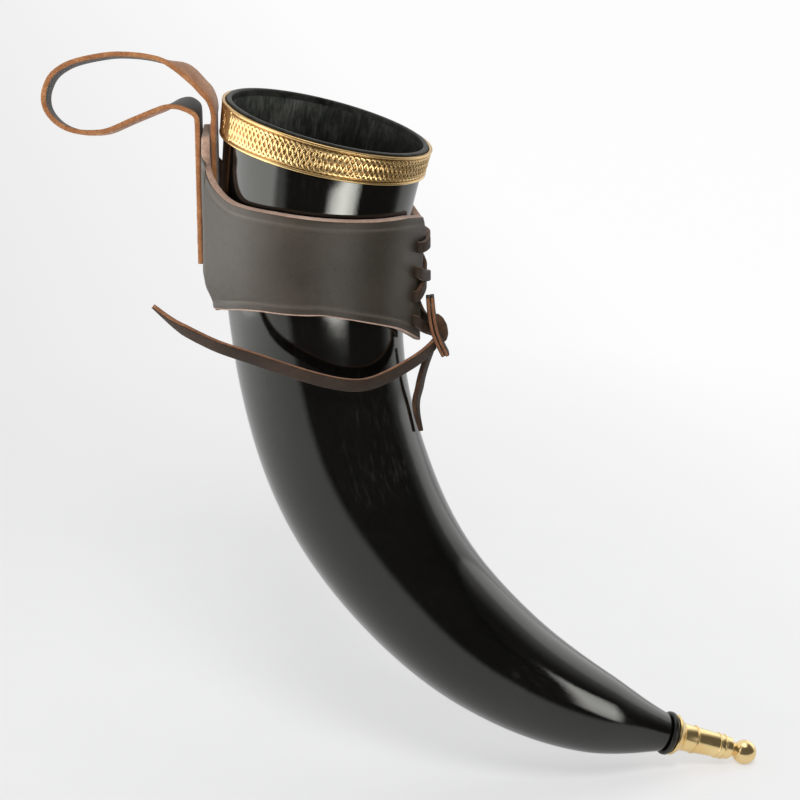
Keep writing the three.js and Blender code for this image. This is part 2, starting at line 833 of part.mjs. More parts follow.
// Short free end that hangs below the knot
function laceEndShort() {
  return flatLace([
    new THREE.Vector3(115.5, -1.5, -118.6),
    new THREE.Vector3(113.6, -2, -124),
    new THREE.Vector3(112.1, -2.5, -129.5),
    new THREE.Vector3(111.3, -3, -133.7),
    new THREE.Vector3(110.2, -3.5, -138),
    new THREE.Vector3(110.4, -4, -143),
    new THREE.Vector3(112.1, -4.5, -150.7),
  ], 0.6);
}

addPart('horn_body', hornBody(), 'horn');
addPart('rim_band', rimBand(), 'brass');
addPart('tip_collar', tipCollar(), 'collar');
addPart('finial', finial(), 'brass');
addPart('finial_stud', finialStud(), 'brass');
addPart('holster_sleeve', holsterSleeve(), 'leather');
addPart('belt_loop_strap', beltLoopStrap(), 'strap');
addPart('stitch_row_front', stitchRow(-1), 'thread');
addPart('stitch_row_back', stitchRow(1), 'thread');
addPart('lace_weave', laceWeave(), 'lace');
addPart('lace_knot', laceKnot(), 'lace');
addPart('lace_end_long', laceEndLong(), 'lace');
addPart('lace_end_short', laceEndShort(), 'lace');

export default group;
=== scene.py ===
import math

import bpy
import numpy as np
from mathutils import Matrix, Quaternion, Vector


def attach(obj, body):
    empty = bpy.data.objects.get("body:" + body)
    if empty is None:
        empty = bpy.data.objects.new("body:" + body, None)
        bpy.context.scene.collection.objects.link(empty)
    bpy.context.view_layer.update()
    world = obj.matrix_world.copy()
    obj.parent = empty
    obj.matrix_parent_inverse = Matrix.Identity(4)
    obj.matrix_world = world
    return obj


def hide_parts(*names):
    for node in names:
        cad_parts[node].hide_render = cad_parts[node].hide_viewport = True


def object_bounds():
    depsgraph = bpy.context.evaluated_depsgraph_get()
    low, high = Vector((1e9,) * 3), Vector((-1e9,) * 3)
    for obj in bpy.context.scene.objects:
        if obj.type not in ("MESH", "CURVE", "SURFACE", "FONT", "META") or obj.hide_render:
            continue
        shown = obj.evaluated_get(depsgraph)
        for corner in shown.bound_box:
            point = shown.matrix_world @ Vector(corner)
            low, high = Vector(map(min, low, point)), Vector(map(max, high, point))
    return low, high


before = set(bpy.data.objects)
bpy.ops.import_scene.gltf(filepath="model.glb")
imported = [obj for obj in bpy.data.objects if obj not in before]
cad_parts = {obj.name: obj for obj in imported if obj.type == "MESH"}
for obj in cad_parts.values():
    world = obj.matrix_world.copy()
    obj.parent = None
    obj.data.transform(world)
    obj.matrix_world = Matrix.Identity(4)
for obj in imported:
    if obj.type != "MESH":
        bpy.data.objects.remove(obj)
cad_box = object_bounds()

# A drinking horn in a laced belt holster. Metres, in the CAD's frame: the origin is where a
# belt bears inside the strap's loop, +X points from the belt to the horn and +Z is up.
# Sizes are those of the CAD source, but for a few that say that they are finer here.

SEAT_GAP = 0.0003

# Horn: a centre line of two tangent arcs and a short straight tip
MOUTH_CENTRE = (0.0762, 0.00135, -0.025)
HORN_TURN = math.radians(14)
MOUTH_LEAN = math.radians(-11.5)
MOUTH_ARC_LENGTH = 0.099
MOUTH_ARC_RADIUS = 0.305
BODY_ARC_LENGTH = 0.239
BODY_ARC_RADIUS = 0.221
TIP_LENGTH = 0.009
HORN_LENGTH = MOUTH_ARC_LENGTH + BODY_ARC_LENGTH + TIP_LENGTH
MOUTH_RADIUS = 0.040
MOUTH_TILT = math.radians(3.5)
MOUTH_TILT_FADE = 0.027
GIRTH_SHARES = ((0, 1), (0.12, 0.906), (0.3, 0.825), (0.45, 0.79),
                (0.6, 0.698), (0.75, 0.61), (0.9, 0.443), (1, 0.204))
WALL_AT_MOUTH = 0.0022
WALL_AT_CAVITY_END = 0.005
CAVITY_LENGTH = 0.236
CAVITY_NOSE_LENGTH = 0.026
LIP_ROUND = 0.0007
CAVITY_END_RADIUS = 0.0001
WAVE_HEIGHT = 0.00009
# Slow waves of the outside, finer here: (length along it, waves round it, shifts along and round)
WAVES = ((0.017, 2, 0.6, 0.8), (0.031, 3, 0.0, -1.1))

# Brass band. Finer here: it starts a little below the lip and its beads are smaller
BAND_WIDTH = 0.013
BAND_THICKNESS = 0.0009
BAND_BELOW_LIP = 0.0008
BEAD_WIDTH = 0.0011
BEAD_HEIGHT = 0.0005

# Collar, finial and stud
COLLAR_RADIUS = 0.0094
COLLAR_WIDTH = 0.003
COLLAR_BEVEL = 0.0011
FLANGE_RADIUS = 0.0088
FLANGE_END_RADIUS = 0.0066
FLANGE_WIDTH = 0.0044
FLANGE_ROUND = 0.0005
STEM_RADIUS = 0.006
STEM_END_RADIUS = 0.0048
STEM_LENGTH = 0.0249
STEM_END_ROUND = 0.0012
RING_HEIGHT = 0.0005
RING_WIDTH = 0.001
RING_PLACE_SHARES = (0.25, 0.71, 0.82)
NECK_RADIUS = 0.0027
NECK_LENGTH = 0.0021
BALL_RADIUS = 0.0053
STUD_RADIUS = 0.0023
STUD_LENGTH = 0.034
STUD_IN_HORN = 0.018
STUD_CLEARANCE = 0.0003
STUD_PITCH = 0.0008
STUD_THREAD_DEPTH = 0.0003
COLLAR_ROUND = 0.0003
FINIAL_ROUND = 0.00025
# The least radius of a turned outline, at its axis
AXIS_RADIUS = 0.00001

# Holster sheet. Finer here: the flaps' rounded top corners, creases along the edges, slow lumps
LEATHER_THICKNESS = 0.0034
HORN_FIT = 0.0007
TAB_INNER_X = 0.0313
TAB_TOP = -0.0286
TAB_WIDTH = 0.022
TAB_ROOT_WIDTH = 0.025
TAB_CORNER = 0.002
TAB_RUN_IN = 0.013
SHEET_TOP = -0.0501
SHEET_BOTTOM = -0.0905
SEAM_TOP_DROP = 0.0099
BACK_TOP_DROP = 0.005
SEAM_BOTTOM_DROP = 0.0218
TAB_BOTTOM_DROP = 0.007
FILLET_RISE = 0.013
FILLET_RUN = 0.017
SEAM_GAP = 0.008
FLAP_ANGLE = math.radians(30)
FLAP_CORNER_CUT = 0.0042
FLAP_CORNER_DROP = 0.0095
TOP_DROP_ANGLE = math.radians(115)
BOTTOM_DROP_ANGLE = math.radians(85)
DROP_POWER = 1.3
LEATHER_EDGE_ROUND = 0.0007
CREASE_FROM_EDGE = 0.003
CREASE_DEPTH = 0.0003
CREASE_WIDTH = 0.0005
# The lumps' height, and how far up the sheet and over how many mesh columns they turn by a radian
LUMP_HEIGHT = 0.00012
LUMP_LENGTH = 0.009
LUMP_COLUMNS = 9

# Lace holes
LACE_HOLE_RADIUS = 0.0026
LACE_HOLE_COUNT = 4
LACE_HOLE_PITCH = 0.010
FIRST_HOLE_BELOW_TOP = 0.0122
HOLE_FROM_EDGE = 0.0055

# Belt strap. Finer here: it takes its roll a little sooner
STRAP_WIDTH = 0.018
STRAP_THICKNESS = 0.002
STRAP_EDGE_ROUND = 0.0005
STRAP_END_Z = -0.0796
LOOP_START_Z = -0.0236
LOOP_REACH = 0.0581
LOOP_RISE = 0.0306
LOOP_ROLL = math.radians(17)
ROLL_RUN = 0.012
LOOP_SHARES = (
    (0.007, 0.289), (0.053, 0.358), (0.115, 0.377), (0.177, 0.351), (0.262, 0.291),
    (0.43, 0.157), (0.599, 0.02), (0.704, 0), (0.788, 0.013), (0.871, 0.065),
    (0.942, 0.167), (0.99, 0.31), (1, 0.454), (0.983, 0.595), (0.94, 0.739),
    (0.864, 0.85), (0.769, 0.922), (0.561, 0.997), (0.458, 1), (0.355, 0.984),
    (0.251, 0.944), (0.169, 0.887), (0.098, 0.825), (0.028, 0.724), (-0.033, 0.593),
    (-0.074, 0.502), (-0.1, 0.381), (-0.108, 0.257))

# Stitching
THREAD_RADIUS = 0.0004
STITCH_ROW_SPACING = 0.013
STITCH_PITCH = 0.0048
STITCH_COUNT = 5
STITCH_BEND = 0.0006
LOWEST_STITCH_Z = -0.0775

# Lace and knot
LACE_WIDTH = 0.005
LACE_THICKNESS = 0.002
LACE_TAPER = 3 * LACE_WIDTH
LACE_GAP = 0.0002
LACE_START_SHIFT = 0.0005
KNOT_CENTRE = (0.1175, -0.0015, -0.114)
KNOT_HEIGHT = 0.008
KNOT_SPREAD = 0.405 * LACE_THICKNESS
KNOT_SWELL = 0.03 * LACE_THICKNESS
KNOT_STRIP_THICKNESS = 0.8 * LACE_THICKNESS
# The way the knot's two strips part, and how the knot's bend and the short end lie flat
KNOT_SPREAD_WAY = np.array((1.0, 0.0, 0.15))
KNOT_BEND_WIDTH_WAY = (1.0, 0.0, 0.1)
SHORT_END_WIDTH_WAY = (0.45, 0.89, 0.0)
SEAM_LACE_WIDTH = 0.86 * LACE_WIDTH
RIBBON_CORNER_SHARE = 0.3
# The quads round a strip's section that show its cut edges
CUT_EDGE_QUADS = (2, 3, 4, 10, 11, 12)

# How finely the meshes are made
CORNER_STEPS = 5
CENTRE_LINE_STEPS = 4000
HORN_SIDES = 160
HORN_ROWS = 260
CAVITY_ROWS = 120
NOSE_ROWS = 20
BAND_SIDES = 1520
BAND_ROWS = 84
TURNED_SIDES = 96
BALL_STEPS = 40
RING_STEPS = 9
SHEET_ROWS = 44
FLAP_COLUMNS = 26
WRAP_COLUMNS = 66
FILLET_COLUMNS = 26
TAB_COLUMNS = 8
TAB_CORNER_COLUMNS = 6
HOLE_SIDES = 40
LOOP_ROWS = 260
LEG_ROWS = 50
LACE_END_ROWS = 140
SEAM_LACE_ROWS = 500
KNOT_ROWS = 90
THREAD_SIDES = 10

# Depths of the fine relief in the materials
SCRATCH_DEPTH = 0.0002
CLOUD_DEPTH = 0.0006
SCRAPE_DEPTH = 0.0004
FIBRE_DEPTH = 0.0003
PORE_DEPTH = 0.00012

# Camera and stage
CAMERA_TARGET = (0.10379, 0.008225, -0.1426)
CAMERA_DISTANCE = 1.2
CAMERA_ELEVATION = math.radians(21)
CAMERA_LENS = 135
FLOOR_SIZE = 12
FLOOR_GAP = 0.0002
# The floor turns into a plain white backdrop between these distances from the horn's foot
FLOOR_FOOT = (0.12, 0.08)
BACKDROP_STARTS = 0.1
BACKDROP_ENDS = 0.6
BACKDROP_SHARES = (0.08, 0.97)
# Its grey at the origin, how much lighter it gets along X and Y as painted shade, and its darkest grey
BACKDROP_GREY = 0.82
BACKDROP_DARKEST = 0.77
BACKDROP_LIGHTENS = (0.42, 0.12, 0.0)
# The studio's dim side: a level direction, and where floor and sky start and end to dim along it
DIM_SIDE = (0.625, -0.781, 0.0)
FLOOR_DIMS = (0.195, 0.225)
SKY_DIMS = (-0.1, 0.12)
# The direction from which light fades into the dim side, and where it starts and ends to
LIGHT_SIDE = (0.5, 0.866, 0.0)
LIGHTENS = (0.45, 0.95)
DIM_COLOUR = (0.075, 0.072, 0.065)
AMBIENT_COLOUR = (0.34, 0.343, 0.347)


# Small helpers

def hermite(t, a, slope_a, b, slope_b):
    """A cubic from a to b with the slopes given, at shares t of the way."""
    return ((2 * t**3 - 3 * t**2 + 1) * a + (t**3 - 2 * t**2 + t) * slope_a
            + (3 * t**2 - 2 * t**3) * b + (t**3 - t**2) * slope_b)


def smooth_through(stations, places):
    """Smooth values through stations of (place, value), for an array of places."""
    xs, ys = np.array(stations, float).T
    i = np.clip(np.searchsorted(xs, places, side="left") - 1, 0, len(xs) - 2)
    before = np.maximum(i - 1, 0)
    after = np.minimum(i + 2, len(xs) - 1)
    slope_a = (ys[i + 1] - ys[before]) / (xs[i + 1] - xs[before])
    slope_b = (ys[after] - ys[i]) / (xs[after] - xs[i])
    span = xs[i + 1] - xs[i]
    return hermite((places - xs[i]) / span, ys[i], span * slope_a, ys[i + 1], span * slope_b)


def ease(t):
    t = np.clip(t, 0, 1)
    return t * t * (3 - 2 * t)


def unit(v):
    v = np.asarray(v, float)
    return v / np.linalg.norm(v, axis=-1, keepdims=True)


def distances(points):
    """How far each point of a route lies from its start, along the route."""
    return np.concatenate([[0], np.cumsum(np.linalg.norm(np.diff(points, axis=0), axis=1))])


def interpolated(points, along, count):
    """Evenly spaced points on a polyline whose own points lie at the distances along."""
    places = np.linspace(0, along[-1], count)
    return np.stack([np.interp(places, along, column) for column in points.T], 1)


def spline(points, count, steps=40):
    """Evenly spaced points on a centripetal Catmull-Rom curve, as three.js makes it."""
    p = np.asarray(points, float)
    p = np.vstack([2 * p[0] - p[1], p, 2 * p[-1] - p[-2]])
    t = np.linspace(0, 1, steps, endpoint=False)[:, None]
    dense = []
    for i in range(1, len(p) - 2):
        p0, p1, p2, p3 = p[i - 1:i + 3]
        d0, d1, d2 = (np.linalg.norm(b - a) ** 0.5 for a, b in ((p0, p1), (p1, p2), (p2, p3)))
        slope_a = ((p1 - p0) / d0 - (p2 - p0) / (d0 + d1) + (p2 - p1) / d1) * d1
        slope_b = ((p2 - p1) / d1 - (p3 - p1) / (d1 + d2) + (p3 - p2) / d2) * d1
        dense.append(hermite(t, p1, slope_a, p2, slope_b))
    dense = np.vstack(dense + [p[-2:-1]])
    return interpolated(dense, distances(dense), count)


def full_turn(sides):
    return np.linspace(0, 2 * math.pi, sides, endpoint=False)


def quarter_turn(count=CORNER_STEPS):
    return np.linspace(0, math.pi / 2, count)


def tangents(points):
    return unit(np.gradient(points, axis=0))


def into_scene(name, data):
    obj = bpy.data.objects.new(name, data)
    bpy.context.scene.collection.objects.link(obj)
    return obj


def new_object(name, verts, faces, materials, material_index=None, smooth=True):
    """A mesh object from arrays."""
    mesh = bpy.data.meshes.new(name)
    mesh.from_pydata([tuple(v) for v in verts], [], faces)
    for material in materials:
        mesh.materials.append(material)
    if material_index is not None:
        mesh.polygons.foreach_set("material_index", np.asarray(material_index, np.int32))
    mesh.polygons.foreach_set("use_smooth", np.full(len(faces), smooth))
    mesh.update()
    return into_scene(name, mesh)


def face_outwards(obj):
    """Turns the faces of a closed body outwards, judged by the sign of its volume."""
    mesh = obj.data
    mesh.calc_loop_triangles()
    corners = np.zeros(3 * len(mesh.loop_triangles), np.int32)
    mesh.loop_triangles.foreach_get("vertices", corners)
    places = np.zeros(3 * len(mesh.vertices))
    mesh.vertices.foreach_get("co", places)
    a, b, c = places.reshape(-1, 3)[corners.reshape(-1, 3)].transpose(1, 0, 2)
    if np.einsum("ij,ij->", a, np.cross(b, c)) < 0:
        mesh.flip_normals()


def grid_faces(rows, columns, close_rows=False):
    """Quads of a grid of points whose rows are closed, as (faces, row index, column index)."""
    r, c = np.indices((rows if close_rows else rows - 1, columns)).reshape(2, -1)
    r1, c1 = (r + 1) % rows, (c + 1) % columns
    faces = np.stack([r * columns + c, r * columns + c1, r1 * columns + c1, r1 * columns + c], 1)
    return faces.tolist(), r, c


def end_faces(rows, columns):
    """The two faces that close the first and last row of a grid."""
    last = (rows - 1) * columns
    return [list(range(columns))[::-1], list(range(last, last + columns))]


def ring_body(name, rings, materials, face_material=None, close_rows=False):
    """A closed body through rings: an array of [ring, point, xyz]."""
    rings = np.asarray(rings, float)
    rows, columns = rings.shape[:2]
    faces, r, c = grid_faces(rows, columns, close_rows)
    index = face_material(r, c) if face_material else np.zeros(len(faces), int)
    if not close_rows:
        faces += end_faces(rows, columns)
        index = np.concatenate([index, [index[0], index[-1]]])
    obj = new_object(name, rings.reshape(-1, 3), faces, materials, index)
    face_outwards(obj)
    return obj


def store(obj, name, values, kind="FLOAT", field="value"):
    """Stores a value at each point of a body, in the order of its rings."""
    layer = obj.data.attributes.new(name, kind, "POINT")
    layer.data.foreach_set(field, np.asarray(values, float).ravel())


def dress(obj, body, replaces):
    """Hides the CAD node that a piece stands for, and hangs the piece on the body it rides on."""
    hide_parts(replaces)
    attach(obj, body)


# The horn's centre line

UP = np.array((0.0, 0.0, 1.0))
IN_PLANE = np.array((math.cos(HORN_TURN), math.sin(HORN_TURN), 0.0))
ACROSS = np.cross(UP, IN_PLANE)
ALONG_BELT = np.array((0.0, 1.0, 0.0))


def towards_inside(heading):
    heading = np.asarray(heading)[..., None]
    return np.cos(heading) * IN_PLANE + np.sin(heading) * UP


def onwards(heading):
    heading = np.asarray(heading)[..., None]
    return np.sin(heading) * IN_PLANE - np.cos(heading) * UP


BODY_HEADING = MOUTH_LEAN + MOUTH_ARC_LENGTH / MOUTH_ARC_RADIUS
TIP_HEADING = BODY_HEADING + BODY_ARC_LENGTH / BODY_ARC_RADIUS
MOUTH_ARC_CENTRE = np.array(MOUTH_CENTRE) + MOUTH_ARC_RADIUS * towards_inside(MOUTH_LEAN)
BODY_ARC_CENTRE = (MOUTH_ARC_CENTRE
                   + (BODY_ARC_RADIUS - MOUTH_ARC_RADIUS) * towards_inside(BODY_HEADING))


def horn_axis(along):
    """Points and headings on the centre line at distances from the mouth."""
    along = np.atleast_1d(np.asarray(along, float))
    on_body = along - MOUTH_ARC_LENGTH
    on_tip = np.maximum(on_body - BODY_ARC_LENGTH, 0)
    heading = np.where(on_body > 0, BODY_HEADING + on_body / BODY_ARC_RADIUS,
                       MOUTH_LEAN + along / MOUTH_ARC_RADIUS)
    heading = np.minimum(heading, TIP_HEADING)
    centre = np.where((on_body > 0)[:, None], BODY_ARC_CENTRE, MOUTH_ARC_CENTRE)
    radius = np.where(on_body > 0, BODY_ARC_RADIUS, MOUTH_ARC_RADIUS)[:, None]
    point = centre - radius * towards_inside(heading) + on_tip[:, None] * onwards(heading)
    return point, heading


def horn_radius(along):
    return MOUTH_RADIUS * smooth_through(GIRTH_SHARES, np.asarray(along) / HORN_LENGTH)


def horn_rings(along, radius, angles):
    """Rings round the centre line, slanted near the mouth. The radius is by [ring, angle]."""
    point, heading = horn_axis(along)
    slant = math.tan(MOUTH_TILT) * (1 - ease((along - BAND_WIDTH) / MOUTH_TILT_FADE))
    side = towards_inside(heading) + slant[:, None] * onwards(heading)
    inwards = side[:, None, :] * np.cos(angles)[None, :, None]
    across = ACROSS * np.sin(angles)[None, :, None]
    return point[:, None, :] + radius[..., None] * (inwards + across)


# Materials

def node_adder(tree):
    """A maker of shader nodes. It links the inputs that are sockets and sets the others."""

    def add(kind, inputs=None, **settings):
        node = tree.nodes.new("ShaderNode" + kind)
        for key, value in settings.items():
            setattr(node, key, value)
        for key, value in (inputs or {}).items():
            if isinstance(value, bpy.types.NodeSocket):
                tree.links.new(value, node.inputs[key])
            else:
                node.inputs[key].default_value = value
        return node

    return add


def node_material(name, settings):
    """A material with fixed shader settings, its maker of nodes and a linker to its shader."""
    material = bpy.data.materials.new(name)
    material.use_nodes = True
    tree = material.node_tree
    inputs = tree.nodes["Principled BSDF"].inputs
    for socket, value in settings.items():
        inputs[socket].default_value = value

    def link(value, socket):
        tree.links.new(value, inputs[socket])

    return material, node_adder(tree), link


def ramp(add, factor, stops):
    """A colour ramp of (place, colour) stops."""
    node = add("ValToRGB", {"Fac": factor})
    elements = node.color_ramp.elements
    while len(elements) < len(stops):
        elements.new(0.5)
    for element, (place, colour) in zip(elements, stops):
        element.position = place
        element.color = (*colour, 1)
    return node.outputs["Color"]


def noise(add, vector, scale, detail, roughness, distortion=0.0):
    return add("TexNoise", {
        "Vector": vector, "Scale": scale, "Detail": detail,
        "Roughness": roughness, "Distortion": distortion}).outputs["Fac"]


def solid_noise(add, *settings):
    """Noise fixed to the object's own space."""
    return noise(add, object_vector(add), *settings)


def math_node(add, operation, a, b, c=0.0, clamp=False):
    return add("Math", {0: a, 1: b, 2: c}, operation=operation, use_clamp=clamp).outputs[0]


def vector_math(add, operation, a, b=(0.0, 0.0, 0.0), output="Vector"):
    return add("VectorMath", {0: a, 1: b}, operation=operation).outputs[output]


def map_range(add, value, start, stop, low=0.0, high=1.0, kind="LINEAR"):
    return add("MapRange", {
        "Value": value, "From Min": start, "From Max": stop, "To Min": low, "To Max": high},
        interpolation_type=kind).outputs[0]


def grey(level):
    return (level, level, level)


def mix_colour(add, factor, a, b, blend="MIX"):
    a, b = ((*colour, 1.0) if isinstance(colour, tuple) else colour for colour in (a, b))
    return add("Mix", {0: factor, 6: a, 7: b}, data_type="RGBA", blend_type=blend).outputs[2]


def bump(add, height, strength, distance, normal=None):
    under = {"Normal": normal} if normal else {}
    return add("Bump", {
        "Height": height, "Strength": strength, "Distance": distance, **under}).outputs["Normal"]


def stretched(add, vector, scale):
    return add("Mapping", {"Vector": vector, "Scale": scale}).outputs["Vector"]


def object_vector(add, scale=(1.0, 1.0, 1.0)):
    return stretched(add, add("TexCoord").outputs["Object"], scale)


def attribute(add, name, output="Fac"):
    return add("Attribute", attribute_name=name).outputs[output]


def horn_material(name, least_roughness):
    """Polished black horn: near black, clouded with faint brown-grey streaks along it."""
    material, add, link = node_material(name, {
        "Specular IOR Level": 0.5, "Specular Tint": (1.0, 1.0, 0.92, 1.0), "IOR": 1.55})
    along = attribute(add, "streak", "Vector")
    streaks = noise(add, stretched(add, along, (6, 22, 1)), 1.0, 6, 0.6, 0.4)
    clouds = solid_noise(add, 22, 4, 0.5)
    specks = solid_noise(add, 260, 3, 0.6)
    scratches = noise(add, stretched(add, along, (14, 420, 1)), 1.0, 2, 0.5)
    tone = math_node(add, "MULTIPLY", streaks, clouds)
    link(ramp(add, tone, [(0.12, (0.0009, 0.0009, 0.0008)), (0.33, (0.0036, 0.0035, 0.003)),
                          (0.5, (0.02, 0.019, 0.0155))]), "Base Color")
    link(math_node(add, "MULTIPLY_ADD", specks, 0.05, least_roughness), "Roughness")
    fine = bump(add, scratches, 0.05, SCRATCH_DEPTH)
    link(bump(add, clouds, 0.12, CLOUD_DEPTH, fine), "Normal")
    return material


def horn_inside_material():
    """Inside of the horn: scraped, duller, with grey-green streaks down it. It is painted
    darker with depth and towards the horn's outer bend, as painted shade."""
    material, add, link = node_material("horn_inside", {"Roughness": 0.45, "Specular IOR Level": 0.25})
    along = attribute(add, "streak", "Vector")
    streaks = noise(add, stretched(add, along, (5, 30, 1)), 1.0, 8, 0.65, 0.6)
    blotches = solid_noise(add, 70, 6, 0.65)
    tone = mix_colour(add, 0.45, streaks, blotches)
    colour = ramp(add, tone, [(0.3, (0.016, 0.0175, 0.0145)), (0.48, (0.05, 0.054, 0.044)),
                              (0.6, (0.13, 0.135, 0.115)), (0.72, (0.24, 0.24, 0.22))])
    place = add("SeparateXYZ", {"Vector": along})
    # Painted shade: darker deeper in the cavity and across the bend
    painted_depth_shade = ramp(add, place.outputs["X"], [(0.1, grey(1)), (0.45, grey(0.4)), (0.8, grey(0.08))])
    painted_bend_shade = map_range(add, place.outputs["Y"], -1.0, 0.6, 1.0, 0.3)
    colour = mix_colour(add, 1.0, colour, painted_depth_shade, "MULTIPLY")
    link(mix_colour(add, 1.0, colour, painted_bend_shade, "MULTIPLY"), "Base Color")
    link(bump(add, streaks, 0.3, SCRAPE_DEPTH), "Normal")
    return material


def horn_lip_material():
    """Lip of the horn: filed flat, black and dull."""
    material, add, link = node_material("horn_lip", {"Roughness": 0.45, "Specular IOR Level": 0.2})
    layers = solid_noise(add, 160, 6, 0.6, 0.8)
    link(ramp(add, layers, [(0.35, (0.008, 0.0085, 0.007)), (0.65, (0.033, 0.035, 0.029))]),
         "Base Color")
    link(bump(add, layers, 0.3, FIBRE_DEPTH), "Normal")
    return material


def brass_material(name, polish, bright_colours):
    """Pale brass, browner where the height attribute is low."""
    material, add, link = node_material(name, {"Metallic": 0.95})
    wear = solid_noise(add, 420, 5, 0.6)
    tarnish = solid_noise(add, 60, 4, 0.6)
    scratches = noise(add, object_vector(add, (1, 1, 4)), 700, 2, 0.5)
    height = attribute(add, "height")
    raised = math_node(add, "ADD", math_node(add, "MULTIPLY_ADD", wear, 0.35, -0.175), height)
    shown = ramp(add, raised, [(0.1, grey(0.05)), (0.45, grey(1))])
    bright = ramp(add, tarnish, list(zip((0.3, 0.7), bright_colours)))
    dark = ramp(add, tarnish, list(zip((0.3, 0.7), RECESS_COLOURS)))
    link(mix_colour(add, shown, dark, bright), "Base Color")
    link(math_node(add, "MULTIPLY_ADD", tarnish, 0.14, polish), "Roughness")
    link(bump(add, scratches, 0.06, SCRATCH_DEPTH), "Normal")
    return material


def leather_material(name, colours, grain_size, roughness, sheen=0.45):
    """Smooth-grain leather: fine creased grain, soft colour variation and a dull sheen. It is
    painted paler where the crease attribute is high: a painted highlight along the creases."""
    material, add, link = node_material(name, {"Specular IOR Level": sheen})
    place = object_vector(add)
    patches = noise(add, place, 38, 5, 0.55)
    creases = noise(add, place, 0.35 / grain_size, 8, 0.65, 0.8)
    pores = add("TexVoronoi", {"Vector": place, "Scale": 1 / grain_size},
                feature="DISTANCE_TO_EDGE").outputs["Distance"]
    tone = mix_colour(add, 0.35, patches, creases)
    plain = ramp(add, tone, list(zip((0.3, 0.5, 0.7), colours)))
    # Painted highlight: the crease attribute lightens the colour along the tooled creases
    painted_highlight = math_node(add, "MULTIPLY", attribute(add, "crease"), CREASE_HIGHLIGHT_SHARE)
    link(mix_colour(add, painted_highlight, plain, PAINTED_CREASE_HIGHLIGHT), "Base Color")
    link(math_node(add, "MULTIPLY_ADD", patches, 0.2, roughness), "Roughness")
    grain = ramp(add, pores, [(0.0, grey(0)), (0.12, grey(1))])
    fine = bump(add, grain, 0.18, PORE_DEPTH)
    link(bump(add, creases, 0.25, FIBRE_DEPTH, fine), "Normal")
    return material


def cut_leather_material(name, colours):
    """Cut edge or flesh side of leather: packed fibres, rough and warm."""
    material, add, link = node_material(name, {
        "Roughness": 0.85, "Sheen Weight": 0.25, "Specular IOR Level": 0.25})
    place = object_vector(add)
    fibres = noise(add, place, 900, 6, 0.7, 0.5)
    patches = noise(add, place, 110, 5, 0.6)
    tone = mix_colour(add, 0.5, fibres, patches)
    link(ramp(add, tone, list(zip((0.32, 0.5, 0.68), colours))), "Base Color")
    link(bump(add, fibres, 0.6, FIBRE_DEPTH), "Normal")
    return material


def thread_material():
    """Waxed thread: plies wound at a slant."""
    material, add, link = node_material("waxed_thread", {"Roughness": 0.6})
    plies = add("TexWave", {"Vector": object_vector(add), "Scale": 900.0, "Distortion": 0.6},
                bands_direction="DIAGONAL").outputs["Fac"]
    link(ramp(add, plies, [(0.2, (0.012, 0.009, 0.006)), (0.8, (0.05, 0.036, 0.026))]), "Base Color")
    link(bump(add, plies, 0.6, SCRATCH_DEPTH), "Normal")
    return material


def side_share(add, vector, side, start, stop):
    """How far a place or direction lies towards a side of the studio, from 0 to 1."""
    towards = vector_math(add, "DOT_PRODUCT", vector, side, "Value")
    return map_range(add, towards, start, stop, kind="SMOOTHSTEP")


def dimmed(add, dim, way):
    """How dim a reflection is: less where light fades in, and not at all for other rays."""
    unlit = math_node(add, "SUBTRACT", 1.0, side_share(add, way, LIGHT_SIDE, *LIGHTENS))
    reflected = add("LightPath").outputs["Is Glossy Ray"]
    return math_node(add, "MULTIPLY", math_node(add, "MULTIPLY", dim, unlit), reflected)


def floor_material():
    """Pale matt floor with the faintest paper grain. In reflections it ends in a dim studio."""
    material, add, link = node_material("pale_floor", {"Roughness": 0.9, "Specular IOR Level": 0.0})
    place = add("TexCoord").outputs["Object"]
    grain = noise(add, place, 30, 3, 0.5)
    paper = ramp(add, grain, [(0.3, (0.87, 0.87, 0.872)), (0.7, (0.89, 0.89, 0.89))])
    from_foot = vector_math(add, "SUBTRACT", place, (*FLOOR_FOOT, FLOOR_Z))
    dim = side_share(add, place, DIM_SIDE, *FLOOR_DIMS)
    dim = dimmed(add, dim, vector_math(add, "NORMALIZE", from_foot))
    link(mix_colour(add, dim, paper, DIM_COLOUR), "Base Color")

    # The camera sees a white backdrop mixed in, painted a little greyer at the left and in front as
    # painted shade
    spread = vector_math(add, "DISTANCE", place, (*FLOOR_FOOT, 0.0), "Value")
    far = map_range(add, spread, BACKDROP_STARTS, BACKDROP_ENDS, *BACKDROP_SHARES)
    lighter = vector_math(add, "DOT_PRODUCT", place, BACKDROP_LIGHTENS, "Value")
    white = math_node(add, "ADD", lighter, BACKDROP_GREY, clamp=True)
    white = math_node(add, "MAXIMUM", white, BACKDROP_DARKEST)
    backdrop = add("Emission", {"Color": white, "Strength": 1.0}).outputs[0]
    camera_ray = add("LightPath").outputs["Is Camera Ray"]
    tree = material.node_tree
    mixed = add("MixShader", {
        0: math_node(add, "MULTIPLY", far, camera_ray),
        1: tree.nodes["Principled BSDF"].outputs[0], 2: backdrop})
    tree.links.new(mixed.outputs[0], tree.nodes["Material Output"].inputs["Surface"])
    return material


RECESS_COLOURS = ((0.22, 0.095, 0.022), (0.38, 0.18, 0.05))
# How strongly, and in what colour, a painted highlight lies along the sleeve's creases
CREASE_HIGHLIGHT_SHARE = 0.4
PAINTED_CREASE_HIGHLIGHT = (0.19, 0.155, 0.125)

